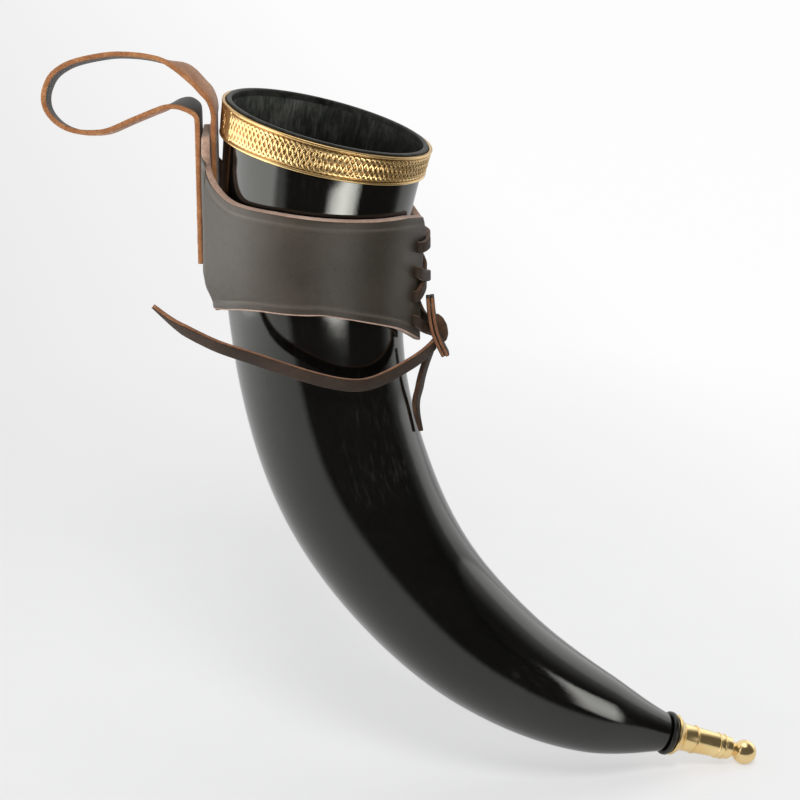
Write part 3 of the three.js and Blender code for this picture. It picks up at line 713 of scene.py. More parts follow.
HORN = horn_material("polished_horn", 0.045)
COLLAR_HORN = horn_material("turned_horn", 0.3)
HORN_INSIDE = horn_inside_material()
HORN_LIP = horn_lip_material()
BAND_BRASS = brass_material("embossed_brass", 0.22, ((0.7, 0.45, 0.165), (0.87, 0.63, 0.3)))
FINIAL_BRASS = brass_material("polished_brass", 0.13, ((0.84, 0.6, 0.26), (0.95, 0.75, 0.4)))
SLEEVE_GRAIN = leather_material("sleeve_leather", (
    (0.03, 0.023, 0.0155), (0.05, 0.039, 0.027), (0.07, 0.056, 0.04)), 0.0005, 0.36)
SLEEVE_EDGE = cut_leather_material("sleeve_cut_edge", (
    (0.28, 0.165, 0.115), (0.48, 0.32, 0.24), (0.68, 0.5, 0.4)))
SLEEVE_FLESH = cut_leather_material("sleeve_flesh_side", (
    (0.09, 0.055, 0.035), (0.16, 0.1, 0.068), (0.24, 0.16, 0.11)))
STRAP_GRAIN = leather_material("strap_leather", (
    (0.04, 0.034, 0.028), (0.07, 0.06, 0.05), (0.1, 0.085, 0.07)), 0.0005, 0.45)
STRAP_EDGE = cut_leather_material("strap_cut_edge", (
    (0.19, 0.07, 0.025), (0.36, 0.15, 0.058), (0.54, 0.27, 0.12)))
LACE_GRAIN = leather_material("lace_leather", (
    (0.022, 0.013, 0.008), (0.042, 0.026, 0.017), (0.07, 0.046, 0.03)), 0.0004, 0.5, 0.3)
LACE_EDGE = cut_leather_material("lace_cut_edge", (
    (0.11, 0.045, 0.02), (0.24, 0.105, 0.05), (0.4, 0.2, 0.1)))
LACE_FLESH = cut_leather_material("lace_flesh_side", (
    (0.035, 0.017, 0.009), (0.08, 0.038, 0.02), (0.15, 0.078, 0.042)))
THREAD = thread_material()


# Camera

def place_camera():
    data = bpy.data.cameras.new("photo_camera")
    data.lens = CAMERA_LENS
    data.clip_end = 2 * FLOOR_SIZE
    camera = into_scene("photo_camera", data)
    away = np.array((0, -math.cos(CAMERA_ELEVATION), math.sin(CAMERA_ELEVATION)))
    camera.location = np.array(CAMERA_TARGET) + CAMERA_DISTANCE * away
    camera.rotation_euler = (math.pi / 2 - CAMERA_ELEVATION, 0, 0)
    bpy.context.scene.camera = camera


place_camera()


# Flat strips: lace and strap

def flat_section(width, thickness, corner):
    """Section of a strip: points of (across, through) with rounded corners, four to a corner."""
    section = []
    for across, through, start in ((1, -1, -math.pi / 2), (1, 1, 0), (-1, 1, math.pi / 2),
                                   (-1, -1, math.pi)):
        for turn in start + quarter_turn(4):
            section.append((across * (width / 2 - corner) + corner * math.cos(turn),
                            through * (thickness / 2 - corner) + corner * math.sin(turn)))
    return np.array(section)


def ribbon(name, route, hints, width, thickness, materials, end_share=1.0, point_length=LACE_WIDTH,
           start_share=1.0):
    """A strip along a route that may taper at its ends. The hints are the directions in which
    its width lies: one, or one for each route point. Materials: broad sides, cut edges."""
    along = tangents(route)
    hints = np.broadcast_to(np.asarray(hints, float), route.shape)
    across = unit(hints - (hints * along).sum(1, keepdims=True) * along)
    face = np.cross(along, across)
    distance = distances(route)
    left = np.clip((distance[-1] - distance) / point_length, 0, 1)
    begun = np.clip(distance / point_length, 0, 1)
    widths = width * (end_share + (1 - end_share) * left) * (start_share + (1 - start_share) * begun)
    rings = []
    for k, place in enumerate(route):
        section = flat_section(widths[k], thickness, RIBBON_CORNER_SHARE * thickness)
        rings.append(place + section[:, :1] * across[k] + section[:, 1:] * face[k])

    def face_material(r, c):
        return np.where(np.isin(c, CUT_EDGE_QUADS), 1, 0)

    return ring_body(name, rings, materials, face_material)


# Free ends of the lace, along the routes of the CAD source. The long end starts a little
# further inside the knot here.

LONG_END_ROUTE = (
    (0.1172, -0.0042, -0.1142), (0.116, -0.0055, -0.1155), (0.1136, -0.010, -0.1162),
    (0.1077, -0.018, -0.1175), (0.0961, -0.030, -0.1197), (0.0885, -0.037, -0.1195),
    (0.0771, -0.0405, -0.1167), (0.0618, -0.041, -0.1118), (0.0466, -0.038, -0.1073),
    (0.0336, -0.036, -0.1036), (0.0259, -0.034, -0.1002), (0.0197, -0.032, -0.0977),
    (0.0144, -0.031, -0.0936), (0.0095, -0.030, -0.0895))
SHORT_END_ROUTE = (
    (0.1155, -0.0015, -0.1186), (0.1136, -0.002, -0.124), (0.1121, -0.0025, -0.1295),
    (0.1113, -0.003, -0.1337), (0.1102, -0.0035, -0.138), (0.1104, -0.004, -0.143),
    (0.1121, -0.0045, -0.1507))
LACE_EASING_PASSES = 40

KNOT_STRIP_ROUTE = (
    (0.1155, -0.004, -0.0945), (0.1162, -0.0042, -0.102), (0.1174, -0.004, -0.1085),
    (0.1196, -0.0035, -0.1145), (0.1216, -0.003, -0.1188))
KNOT_BEND_ROUTE = (
    (0.1178, 0.0012, -0.1045), (0.1192, -0.001, -0.1058), (0.1201, -0.0018, -0.1092),
    (0.1203, -0.001, -0.1128), (0.1198, 0.0012, -0.1148))


def horn_centre_at(height):
    """The horn's centre line and the sleeve's inside radius where it passes heights."""
    height = np.asarray(height, float)
    along = np.linspace(0, HORN_LENGTH, CENTRE_LINE_STEPS)
    point, _ = horn_axis(along)
    place = np.interp(-height, -point[:, 2], along)
    centre, _ = horn_axis(place.ravel())
    centre = centre.reshape(height.shape + (3,))
    centre[..., 2] = height
    return centre, horn_radius(place) + HORN_FIT


def away_from_horn(route):
    centre, _ = horn_centre_at(route[:, 2])
    return unit(route - centre)


def lace_end(name, points, replaces, edge, end_share, width_direction=None):
    """A free end of the lace. Its broad side lies towards the horn if no direction is given."""
    route = spline(points, LACE_END_ROWS)
    # Leather bends softly, so the corners of the route are eased
    for _ in range(LACE_EASING_PASSES):
        route[1:-1] = (2 * route[1:-1] + route[:-2] + route[2:]) / 4
    hints = width_direction or np.cross(away_from_horn(route), tangents(route))
    obj = ribbon(name, route, hints, LACE_WIDTH, LACE_THICKNESS, [LACE_GRAIN, edge],
                 end_share, LACE_TAPER)
    dress(obj, "holster", replaces)


lace_end("long_lace_end", LONG_END_ROUTE, "lace_end_long", LACE_EDGE, end_share=0.2)
# The short end's cut edges take the darker flesh-side leather as painted shade, since they lie in
# shadow
lace_end("short_lace_end", SHORT_END_ROUTE, "lace_end_short", LACE_FLESH, end_share=0.25,
         width_direction=SHORT_END_WIDTH_WAY)


# Horn body

def wall_at(along):
    return WALL_AT_MOUTH + (WALL_AT_CAVITY_END - WALL_AT_MOUTH) * along / CAVITY_LENGTH


def horn_body():
    angles = full_turn(HORN_SIDES)
    outside = np.linspace(HORN_LENGTH, LIP_ROUND, HORN_ROWS)
    wave = sum(np.outer(np.sin(outside / length + shift), np.cos(count * angles + turn))
               for length, count, shift, turn in WAVES)
    fade = ease((outside - 2 * BAND_WIDTH) / BAND_WIDTH) * ease((HORN_LENGTH - outside) / BAND_WIDTH)
    outer = horn_radius(outside)[:, None] + WAVE_HEIGHT * wave * fade[:, None]

    # The rounded lip, then down the cavity to its rounded end
    rise = LIP_ROUND * (1 - np.sin(quarter_turn()))
    run = LIP_ROUND * (1 - np.cos(quarter_turn()))
    nose_start = CAVITY_LENGTH - CAVITY_NOSE_LENGTH
    cavity = np.linspace(LIP_ROUND, nose_start, CAVITY_ROWS)[1:]
    nose_turn = quarter_turn(NOSE_ROWS)[1:]
    nose_radius = (horn_radius(nose_start) - wall_at(nose_start)) * np.cos(nose_turn)
    nose_radius[-1] = CAVITY_END_RADIUS
    along = np.concatenate([
        outside, rise[1:], run, cavity, nose_start + CAVITY_NOSE_LENGTH * np.sin(nose_turn)])
    plain = np.concatenate([
        MOUTH_RADIUS - run[1:], MOUTH_RADIUS - WALL_AT_MOUTH + rise,
        horn_radius(cavity) - wall_at(cavity), nose_radius])
    radius = np.vstack([outer, np.repeat(plain[:, None], HORN_SIDES, axis=1)])
    lip_start = HORN_ROWS - 1
    inside_start = HORN_ROWS + 2 * CORNER_STEPS - 1

    def face_material(r, c):
        """0 polished outside, 1 scraped inside, 2 filed lip."""
        return np.where(r >= inside_start, 1, np.where(r >= lip_start, 2, 0))

    rings = horn_rings(along, radius, angles)
    obj = ring_body("horn_skin", rings, [HORN, HORN_INSIDE, HORN_LIP], face_material)
    # The place along the horn and round it, for streaks that follow the horn
    streak = np.broadcast_arrays((along / MOUTH_RADIUS)[:, None], np.cos(angles), np.sin(angles))
    store(obj, "streak", np.stack(streak, 2), "FLOAT_VECTOR", "vector")
    dress(obj, "horn", "horn_body")


horn_body()


# Brass band with interlaced knotwork

STRAND_COUNT = 6
STRAND_WIDTH = 0.00095
STRAND_HEIGHT = 0.00026
STRAND_RISE = 0.00012
# The power that flattens a strand's round section, and the groove along it
STRAND_FLATNESS = 2.6
GROOVE_DEPTH_SHARE = 0.28
GROOVE_WIDTH = 0.16 * STRAND_WIDTH
PLAIT_REPEATS = 19
PLAIT_AMPLITUDE = 0.0041
# The place round the mouth where the strip's ends lap, and the plain lap's size
LAP_ANGLE = math.radians(189)
LAP_WIDTH = 0.0045
LAP_HEIGHT = 0.00025
LAP_FADE = 0.1 * LAP_WIDTH
BEAD_FADE = 0.3 * BEAD_WIDTH


def strand_profile(distance):
    """Height of a strand's rounded section with a fine groove along its middle."""
    share = np.clip(distance / (STRAND_WIDTH / 2), 0, 1)
    body = np.sqrt(np.clip(1 - share**STRAND_FLATNESS, 0, 1))
    groove = GROOVE_DEPTH_SHARE * np.exp(-(distance / GROOVE_WIDTH)**2)
    return np.where(share < 1, body - groove, 0)


def knotwork(u, v):
    """Height of the pattern at places u along the band, in repeats, and v across it."""
    period = 2 * math.pi * MOUTH_RADIUS / PLAIT_REPEATS
    best = np.zeros(np.broadcast(u, v).shape)
    # A strand meets each other strand once on its way up and once on its way down, and goes
    # over and under by turns
    other = np.arange(1, STRAND_COUNT)
    going_up = 90 - 180 * other / STRAND_COUNT
    going_down = 270 - 180 * other / STRAND_COUNT
    crossings = np.concatenate([going_up, going_down])
    over_under = np.concatenate([np.where(other % 2, 1, -1), np.where(other % 2, -1, 1)])
    for k in range(STRAND_COUNT):
        turn = 2 * math.pi * (u + k / STRAND_COUNT)
        middle = PLAIT_AMPLITUDE * np.sin(turn)
        slope = PLAIT_AMPLITUDE * 2 * math.pi / period * np.cos(turn)
        distance = np.abs(v - middle) / np.sqrt(1 + slope**2)
        level = np.interp(np.degrees(turn), crossings, over_under, period=360)
        height = strand_profile(distance) * (STRAND_HEIGHT + STRAND_RISE * level)
        best = np.maximum(best, height)
    return best


def rim_band():
    angles = full_turn(BAND_SIDES)
    across = np.linspace(BAND_BELOW_LIP, BAND_WIDTH, BAND_ROWS)
    turns = angles / (2 * math.pi) * PLAIT_REPEATS
    middle = (BAND_BELOW_LIP + BAND_WIDTH) / 2
    field = knotwork(turns[None, :], (across - middle)[:, None])
    from_edge = np.minimum(across - BAND_BELOW_LIP, BAND_WIDTH - across)
    from_bead = (from_edge - BEAD_WIDTH / 2) / (BEAD_WIDTH / 2)
    bead = BEAD_HEIGHT * np.sqrt(np.clip(1 - from_bead**2, 0, 1))
    field = field * ease((from_edge - BEAD_WIDTH) / BEAD_FADE)[:, None]
    from_lap = np.abs((angles - LAP_ANGLE + math.pi) % (2 * math.pi) - math.pi) * MOUTH_RADIUS
    plain = ease((from_lap - LAP_WIDTH / 2) / LAP_FADE)
    field = field * plain[None, :] + LAP_HEIGHT * (1 - plain)[None, :]
    field = np.maximum(field, bead[:, None])
    inner = horn_radius(across) + SEAT_GAP
    outer = inner[:, None] + BAND_THICKNESS + field
    # Down the inside, then up the outside, closed on itself
    along = np.concatenate([across, across[::-1]])
    radius = np.vstack([np.repeat(inner[:, None], BAND_SIDES, axis=1), outer[::-1]])
    obj = ring_body("knotwork_band", horn_rings(along, radius, angles), [BAND_BRASS], close_rows=True)
    height_share = np.clip(field / (STRAND_HEIGHT + STRAND_RISE), 0, 1)
    store(obj, "height", np.vstack([np.ones_like(field), height_share[::-1]]))
    dress(obj, "horn", "rim_band")


rim_band()


# Turned pieces at the tip

def rounded(profile, radius, steps=5):
    """The profile with its inner corners rounded."""
    profile = np.array(profile, float)
    points = [profile[0]]
    for before, corner, after in zip(profile, profile[1:], profile[2:]):
        a, b = before - corner, after - corner
        la, lb = np.linalg.norm(a), np.linalg.norm(b)
        # Less than half of a side, so that two roundings never meet
        cut = min(radius, la / 2.2, lb / 2.2)
        start, end = corner + a / la * cut, corner + b / lb * cut
        for k in range(steps + 1):
            t = k / steps
            points.append((1 - t)**2 * start + 2 * t * (1 - t) * corner + t**2 * end)
    points.append(profile[-1])
    return np.array(points)


def turned(name, profile, base, material, replaces):
    """A piece turned on the tip's axis, from a profile of (distance past base, radius)."""
    profile = np.asarray(profile, float)
    angles = full_turn(TURNED_SIDES)
    start, _ = horn_axis(base)
    outwards = (towards_inside(TIP_HEADING) * np.cos(angles)[None, :, None]
                + ACROSS * np.sin(angles)[None, :, None])
    rings = (start[0] + profile[:, 0, None, None] * onwards(TIP_HEADING)
             + profile[:, 1, None, None] * outwards)
    obj = ring_body(name, rings[::-1], [material])
    store(obj, "height", np.ones(rings.shape[:2]))
    dress(obj, "horn", replaces)


COLLAR_BASE = HORN_LENGTH + SEAT_GAP
FINIAL_BASE = COLLAR_BASE + COLLAR_WIDTH + SEAT_GAP
BORE = STUD_RADIUS + STUD_CLEARANCE


def tip_collar():
    profile = rounded([
        (COLLAR_WIDTH, BORE), (0, BORE), (0, COLLAR_RADIUS - COLLAR_BEVEL / 2),
        (COLLAR_BEVEL / 2, COLLAR_RADIUS), (COLLAR_WIDTH - COLLAR_BEVEL, COLLAR_RADIUS),
        (COLLAR_WIDTH, COLLAR_RADIUS - COLLAR_BEVEL), (COLLAR_WIDTH, BORE)], COLLAR_ROUND)
    turned("bevelled_collar", profile, COLLAR_BASE, COLLAR_HORN, "tip_collar")


def finial():
    bore_depth = STUD_LENGTH - STUD_IN_HORN - COLLAR_WIDTH - 2 * SEAT_GAP + STUD_CLEARANCE
    outline = [
        (bore_depth, AXIS_RADIUS), (bore_depth, BORE), (0, BORE), (0, FLANGE_RADIUS - FLANGE_ROUND),
        (FLANGE_ROUND, FLANGE_RADIUS), (2 * FLANGE_ROUND, FLANGE_RADIUS),
        (FLANGE_WIDTH - FLANGE_ROUND, FLANGE_END_RADIUS),
        (FLANGE_WIDTH, FLANGE_END_RADIUS - FLANGE_ROUND), (FLANGE_WIDTH, STEM_RADIUS)]
    for share in RING_PLACE_SHARES:
        middle = FLANGE_WIDTH + STEM_LENGTH * share
        radius = STEM_RADIUS + (STEM_END_RADIUS - STEM_RADIUS) * share
        for turn in np.linspace(0, math.pi, RING_STEPS):
            outline.append((middle - RING_WIDTH / 2 * math.cos(turn),
                            radius + RING_HEIGHT * math.sin(turn)))
    stem_end = FLANGE_WIDTH + STEM_LENGTH
    neck_turn = math.asin(NECK_RADIUS / BALL_RADIUS)
    ball_centre = stem_end + NECK_LENGTH + BALL_RADIUS * math.cos(neck_turn)
    outline.append((stem_end - STEM_END_ROUND, STEM_END_RADIUS))
    outline.append((stem_end, STEM_END_RADIUS - STEM_END_ROUND))
    for turn in np.linspace(neck_turn, math.pi, BALL_STEPS):
        outline.append((ball_centre - BALL_RADIUS * math.cos(turn),
                        max(BALL_RADIUS * math.sin(turn), AXIS_RADIUS)))
    profile = rounded(outline, FINIAL_ROUND, 4)
    turned("turned_finial", profile, FINIAL_BASE, FINIAL_BRASS, "finial")


def finial_stud():
    """The stud with its thread as fine rings."""
    root_radius = STUD_RADIUS - STUD_THREAD_DEPTH
    outline = [(-STUD_IN_HORN, AXIS_RADIUS), (-STUD_IN_HORN, root_radius)]
    for k in range(int(STUD_LENGTH / STUD_PITCH)):
        place = -STUD_IN_HORN + STUD_PITCH * (k + 0.5)
        outline += [(place, STUD_RADIUS), (place + STUD_PITCH / 2, root_radius)]
    end = STUD_LENGTH - STUD_IN_HORN
    outline += [(end, root_radius), (end, AXIS_RADIUS)]
    turned("threaded_stud", outline, HORN_LENGTH, FINIAL_BRASS, "finial_stud")


tip_collar()
finial()
finial_stud()


# Holster sheet

SLEEVE_EASING_PASSES = 6


def tab_inner_at(height):
    centre, reach = horn_centre_at(height)
    share = ease((STRAP_END_Z - STRAP_THICKNESS - np.asarray(height)) / TAB_RUN_IN)
    return TAB_INNER_X + (centre[..., 0] - reach - TAB_INNER_X) * share


def tab_root_angle(height):
    centre, _ = horn_centre_at(height)
    return math.pi - np.arctan(TAB_ROOT_WIDTH / 2 / (centre[..., 0] - tab_inner_at(height)))


def sheet_top(side, angle):
    drop = SEAM_TOP_DROP if side < 0 else SEAM_TOP_DROP + BACK_TOP_DROP
    return SHEET_TOP - drop * np.maximum(1 - angle / TOP_DROP_ANGLE, 0)**DROP_POWER


def sheet_bottom(angle):
    seam = np.maximum(1 - angle / BOTTOM_DROP_ANGLE, 0)**DROP_POWER
    tab = ease((angle - TOP_DROP_ANGLE) / (math.pi - TOP_DROP_ANGLE))
    return SHEET_BOTTOM - SEAM_BOTTOM_DROP * seam - TAB_BOTTOM_DROP * tab


def flap_place(side, height, from_edge):
    """Point on a flap's inner face and its normal, at a distance from the flap's edge."""
    centre, reach = horn_centre_at(height)
    length = (reach * math.sin(FLAP_ANGLE) - SEAM_GAP / 2) / math.cos(FLAP_ANGLE)
    normal = np.array((math.cos(FLAP_ANGLE), side * math.sin(FLAP_ANGLE), 0))
    to_seam = np.array((math.sin(FLAP_ANGLE), -side * math.cos(FLAP_ANGLE), 0))
    point = centre + reach[..., None] * normal + (length - from_edge)[..., None] * to_seam
    return point, normal, length


def half_columns(side):
    """Columns of half the sheet as (kind, parameter, angle, top), from the seam to the tab."""
    columns = [("flap", share, FLAP_ANGLE * share, sheet_top(side, FLAP_ANGLE * share))
               for share in np.linspace(0, 1, FLAP_COLUMNS)[:-1]]
    root = tab_root_angle(SHEET_TOP)
    fillet = root - FILLET_RUN / horn_centre_at(SHEET_TOP)[1]
    columns += [("wrap", angle, angle, sheet_top(side, angle))
                for angle in np.linspace(FLAP_ANGLE, fillet, WRAP_COLUMNS)[:-1]]
    for turn in quarter_turn(FILLET_COLUMNS):
        angle = fillet + (root - fillet) * math.sin(turn)
        columns.append(("wrap", angle, angle, SHEET_TOP + FILLET_RISE * (1 - math.cos(turn))))
    half = TAB_WIDTH / 2
    straight_start = SHEET_TOP + FILLET_RISE
    for share in np.linspace(0, 1, TAB_COLUMNS)[1:]:
        y = TAB_ROOT_WIDTH / 2 + (half - TAB_ROOT_WIDTH / 2) * share
        top = straight_start + (TAB_TOP - TAB_CORNER - straight_start) * share
        columns.append(("tab", y, math.pi, top))
    for turn in quarter_turn(TAB_CORNER_COLUMNS)[1:]:
        y = half - TAB_CORNER * (1 - math.cos(turn))
        columns.append(("tab", y, math.pi, TAB_TOP - TAB_CORNER * (1 - math.sin(turn))))
    return columns + [("tab", y, math.pi, TAB_TOP)
                      for y in np.linspace(half - TAB_CORNER, 0, TAB_COLUMNS)[1:]]


def column_points(kind, parameter, side, heights):
    """Points up a column of the sheet's inner face. The parameter is the share of the flap, the
    angle round the horn or the place across the tab."""
    if kind == "flap":
        length = flap_place(side, heights, np.zeros_like(heights))[2]
        up_corner = np.clip((heights - heights[-1]) / FLAP_CORNER_DROP + 1, 0, 1)
        cut = FLAP_CORNER_CUT * up_corner**2
        return flap_place(side, heights, cut + (length - cut) * parameter)[0]
    if kind == "tab":
        return np.stack([tab_inner_at(heights), np.full_like(heights, side * parameter), heights], 1)
    centre, reach = horn_centre_at(heights)
    tab_distance = np.hypot(centre[:, 0] - tab_inner_at(heights), TAB_ROOT_WIDTH / 2)
    shoulder = tab_root_angle(heights) - np.arccos(np.minimum(reach / tab_distance, 1))
    distance = reach / np.cos(parameter - np.minimum(parameter, shoulder))
    outward = np.array((math.cos(parameter), side * math.sin(parameter), 0))
    return centre + distance[:, None] * outward


def holster_sleeve():
    columns = [(-1, *c) for c in half_columns(-1)] + [(1, *c) for c in half_columns(1)[-2::-1]]
    rows = np.array([np.linspace(sheet_bottom(angle) + LEATHER_EDGE_ROUND, top - LEATHER_EDGE_ROUND,
                                 SHEET_ROWS) for side, kind, parameter, angle, top in columns])
    inner = np.array([column_points(kind, parameter, side, heights)
                      for (side, kind, parameter, angle, top), heights in zip(columns, rows)])
    # Soften the bends where flap, wrap and tab meet, as leather does
    for _ in range(SLEEVE_EASING_PASSES):
        eased = 0.5 * inner[1:-1] + 0.25 * (inner[:-2] + inner[2:])
        inner[1:-1, :, :2] = eased[:, :, :2]
    normal = unit(np.cross(np.gradient(inner, axis=1), np.gradient(inner, axis=0)))

    # Faint tooled crease a little in from the top and bottom edges of the grain side
    from_top = rows[:, -1:] - rows
    from_bottom = rows - rows[:, :1]
    crease = sum(np.exp(-((from_edge - CREASE_FROM_EDGE) / CREASE_WIDTH)**2)
                 for from_edge in (from_top, from_bottom))
    lumps = LUMP_HEIGHT * np.sin(rows / LUMP_LENGTH + np.arange(len(columns))[:, None] / LUMP_COLUMNS)
    outer = inner + normal * (LEATHER_THICKNESS - CREASE_DEPTH * crease + lumps)[..., None]

    # Rounded corners of the cut edges, as (through the leather, past the edge)
    reach = LEATHER_EDGE_ROUND * np.cos(quarter_turn())
    rise = LEATHER_EDGE_ROUND * np.sin(quarter_turn())
    outer_corner = np.stack([LEATHER_THICKNESS - LEATHER_EDGE_ROUND + reach, rise], 1)
    inner_corner = np.stack([LEATHER_EDGE_ROUND - reach, rise], 1)
    top_edge = np.vstack([outer_corner[1:], inner_corner[::-1]])
    bottom_edge = np.vstack([inner_corner[1:], outer_corner[:0:-1]])
    rings = []
    for k in range(len(columns)):
        over = inner[k, -1] + top_edge[:, :1] * normal[k, -1] + top_edge[:, 1:] * UP
        under = inner[k, 0] + bottom_edge[:, :1] * normal[k, 0] - bottom_edge[:, 1:] * UP
        rings.append(np.vstack([outer[k], over, inner[k, -2::-1], under]))
    inner_start = SHEET_ROWS + len(top_edge) - 1
    inner_end = inner_start + SHEET_ROWS - 1

    def face_material(r, c):
        """0 grain side, which goes half round the top's outer corner, 1 cut edges, 2 flesh side."""
        flesh = (c >= inner_start) & (c < inner_end)
        return np.where(c < SHEET_ROWS + 1, 0, np.where(flesh, 2, 1))

    obj = ring_body("laced_sleeve", rings, [SLEEVE_GRAIN, SLEEVE_EDGE, SLEEVE_FLESH], face_material)
    # The crease also carries a painted highlight, which the leather material lays along it
    shown = np.zeros((len(columns), len(rings[0])))
    shown[:, :SHEET_ROWS] = crease
    store(obj, "crease", shown)
    # The two seam edges are cut edges too
    for polygon in obj.data.polygons[-2:]:
        polygon.material_index = 1
    punch_holes(obj)
    dress(obj, "holster", "holster_sleeve")


def row_height(row):
    return SHEET_TOP - SEAM_TOP_DROP - FIRST_HOLE_BELOW_TOP - row * LACE_HOLE_PITCH


def flap_point(side, row, from_edge, offset):
    height = np.array(row_height(row))
    point, normal, _ = flap_place(side, height, np.array(from_edge))
    return point + offset * normal


def punch_holes(obj):
    """Cuts the lace holes through the sheet."""
    angles = full_turn(HOLE_SIDES)[:, None]
    pin = grid_faces(2, HOLE_SIDES)[0] + end_faces(2, HOLE_SIDES)
    verts, faces = [], []
    for row in range(LACE_HOLE_COUNT):
        for side in (-1, 1):
            start = flap_point(side, row, HOLE_FROM_EDGE, -LEATHER_THICKNESS)
            end = flap_point(side, row, HOLE_FROM_EDGE, 2 * LEATHER_THICKNESS)
            level = np.cross(unit(end - start), UP)
            circle = LACE_HOLE_RADIUS * (np.cos(angles) * level + np.sin(angles) * UP)
            faces += [[len(verts) + k for k in face] for face in pin]
            verts += [*(start + circle), *(end + circle)]
    cutter = new_object("hole_cutter", verts, faces, [SLEEVE_EDGE])
    modifier = obj.modifiers.new("holes", "BOOLEAN")
    modifier.operation = "DIFFERENCE"
    modifier.solver = "EXACT"
    modifier.object = cutter
    modifier.material_mode = "TRANSFER"
    depsgraph = bpy.context.evaluated_depsgraph_get()
    cut = bpy.data.meshes.new_from_object(obj.evaluated_get(depsgraph))
    obj.modifiers.clear()
    obj.data = cut
    bpy.data.objects.remove(cutter)


holster_sleeve()


# Belt strap

OUTER_LEG_X = TAB_INNER_X - LEATHER_THICKNESS - SEAT_GAP - STRAP_THICKNESS / 2
INNER_LEG_X = TAB_INNER_X + SEAT_GAP + STRAP_THICKNESS / 2


def belt_loop_strap():
    low = STRAP_THICKNESS / 2 - LOOP_RISE
    loop = [(OUTER_LEG_X, 0, LOOP_START_Z)]
    loop += [(OUTER_LEG_X - LOOP_REACH * a, 0, low + LOOP_RISE * b) for a, b in LOOP_SHARES]
    loop += [(INNER_LEG_X, 0, LOOP_START_Z)]
    outer_leg = np.linspace((OUTER_LEG_X, 0, STRAP_END_Z), loop[0], LEG_ROWS)[:-1]
    inner_leg = np.linspace(loop[-1], (INNER_LEG_X, 0, STRAP_END_Z), LEG_ROWS)[1:]
    route = np.vstack([outer_leg, spline(loop, LOOP_ROWS), inner_leg])
    face = np.cross(tangents(route), ALONG_BELT)
    roll = math.tan(LOOP_ROLL) * ease((OUTER_LEG_X - STRAP_THICKNESS - route[:, 0]) / ROLL_RUN)
    width_way = ALONG_BELT - roll[:, None] * UP
    section = flat_section(STRAP_WIDTH, STRAP_THICKNESS, STRAP_EDGE_ROUND)
    rings = (route[:, None] + section[None, :, :1] * width_way[:, None]
             + section[None, :, 1:] * face[:, None])

    def face_material(r, c):
        """0 grain side, which is the loop's inside; 1 flesh side and cut edges."""
        return np.where(c == len(section) - 1, 0, 1)

    obj = ring_body("belt_strap", rings, [STRAP_GRAIN, STRAP_EDGE], face_material)
    dress(obj, "holster", "belt_loop_strap")


belt_loop_strap()


# Saddle stitching

def stitch_row(name, side, replaces):
    """A thread that goes to and fro through strap, tab and strap, half sunk in the leather."""
    y = side * STITCH_ROW_SPACING / 2
    outside = (OUTER_LEG_X - STRAP_THICKNESS / 2 + THREAD_RADIUS / 2, y)
    inside = (INNER_LEG_X + STRAP_THICKNESS / 2 - THREAD_RADIUS / 2, y)
    points = []
    for i in range(STITCH_COUNT):
        z = LOWEST_STITCH_Z + i * STITCH_PITCH
        ends = [(*outside, z), (*inside, z)]
        points += ends if i % 2 == 0 else ends[::-1]
    route = rounded(points, STITCH_BEND, 6)
    angles = full_turn(THREAD_SIDES)[None, :, None]
    level = np.cross(tangents(route), ALONG_BELT)[:, None]
    rings = route[:, None] + THREAD_RADIUS * (np.cos(angles) * ALONG_BELT + np.sin(angles) * level)
    dress(ring_body(name, rings, [THREAD]), "holster", replaces)


stitch_row("front_stitches", -1, "stitch_row_front")
stitch_row("back_stitches", 1, "stitch_row_back")


# Lace through the seam

def lace_half(name, side):
    """Half of the lace, from the top of the seam on its own side down to the knot."""
    outer = LEATHER_THICKNESS + LACE_THICKNESS / 2 + LACE_GAP
    inner = -LACE_THICKNESS / 2 - LACE_GAP
    raised = outer + (LACE_THICKNESS if side > 0 else 0)

    # Rows count the holes from the top, and parts of a row lie between two holes
    def inwards(hole_side, row):
        offsets = (outer, 0.7 * LEATHER_THICKNESS, 0.3 * LEATHER_THICKNESS, inner)
        return [flap_point(hole_side, row, HOLE_FROM_EDGE, offset) for offset in offsets]

    def outwards(hole_side, row):
        return inwards(hole_side, row)[::-1]

    def over_edge(edge_side, row):
        return flap_point(edge_side, row, 0, outer)

    def in_seam(row, from_edge, offset, shift=0, y=0):
        x, _, z = flap_point(side, row, from_edge, offset)
        return np.array((x + shift, y, z))

    behind = (HOLE_FROM_EDGE / 2, inner, LACE_THICKNESS / 2 * side)
    knot = np.array(KNOT_CENTRE) + np.array((0, -side * LACE_THICKNESS / 2, KNOT_HEIGHT / 2))
    route = [
        in_seam(0, 0, outer, y=-side * LACE_START_SHIFT), over_edge(side, 0),
        *inwards(side, 0), in_seam(0.5, *behind), *outwards(-side, 1),
        over_edge(-side, 1.3), in_seam(1.5, 0, raised), over_edge(side, 1.7),
        *inwards(side, 2), in_seam(2.5, *behind), *outwards(-side, 3),
        over_edge(-side, 3.4), knot]
    # The lace's width stands upright and turns level at the knot
    hints = np.array([UP] * (len(route) - 2) + [unit(UP + 0.5 * ALONG_BELT), ALONG_BELT])
    hints = interpolated(hints, distances(route), SEAM_LACE_ROWS)
    obj = ribbon(name, spline(route, SEAM_LACE_ROWS), hints, SEAM_LACE_WIDTH, LACE_THICKNESS,
                 [LACE_GRAIN, LACE_FLESH])
    dress(obj, "holster", "lace_weave")


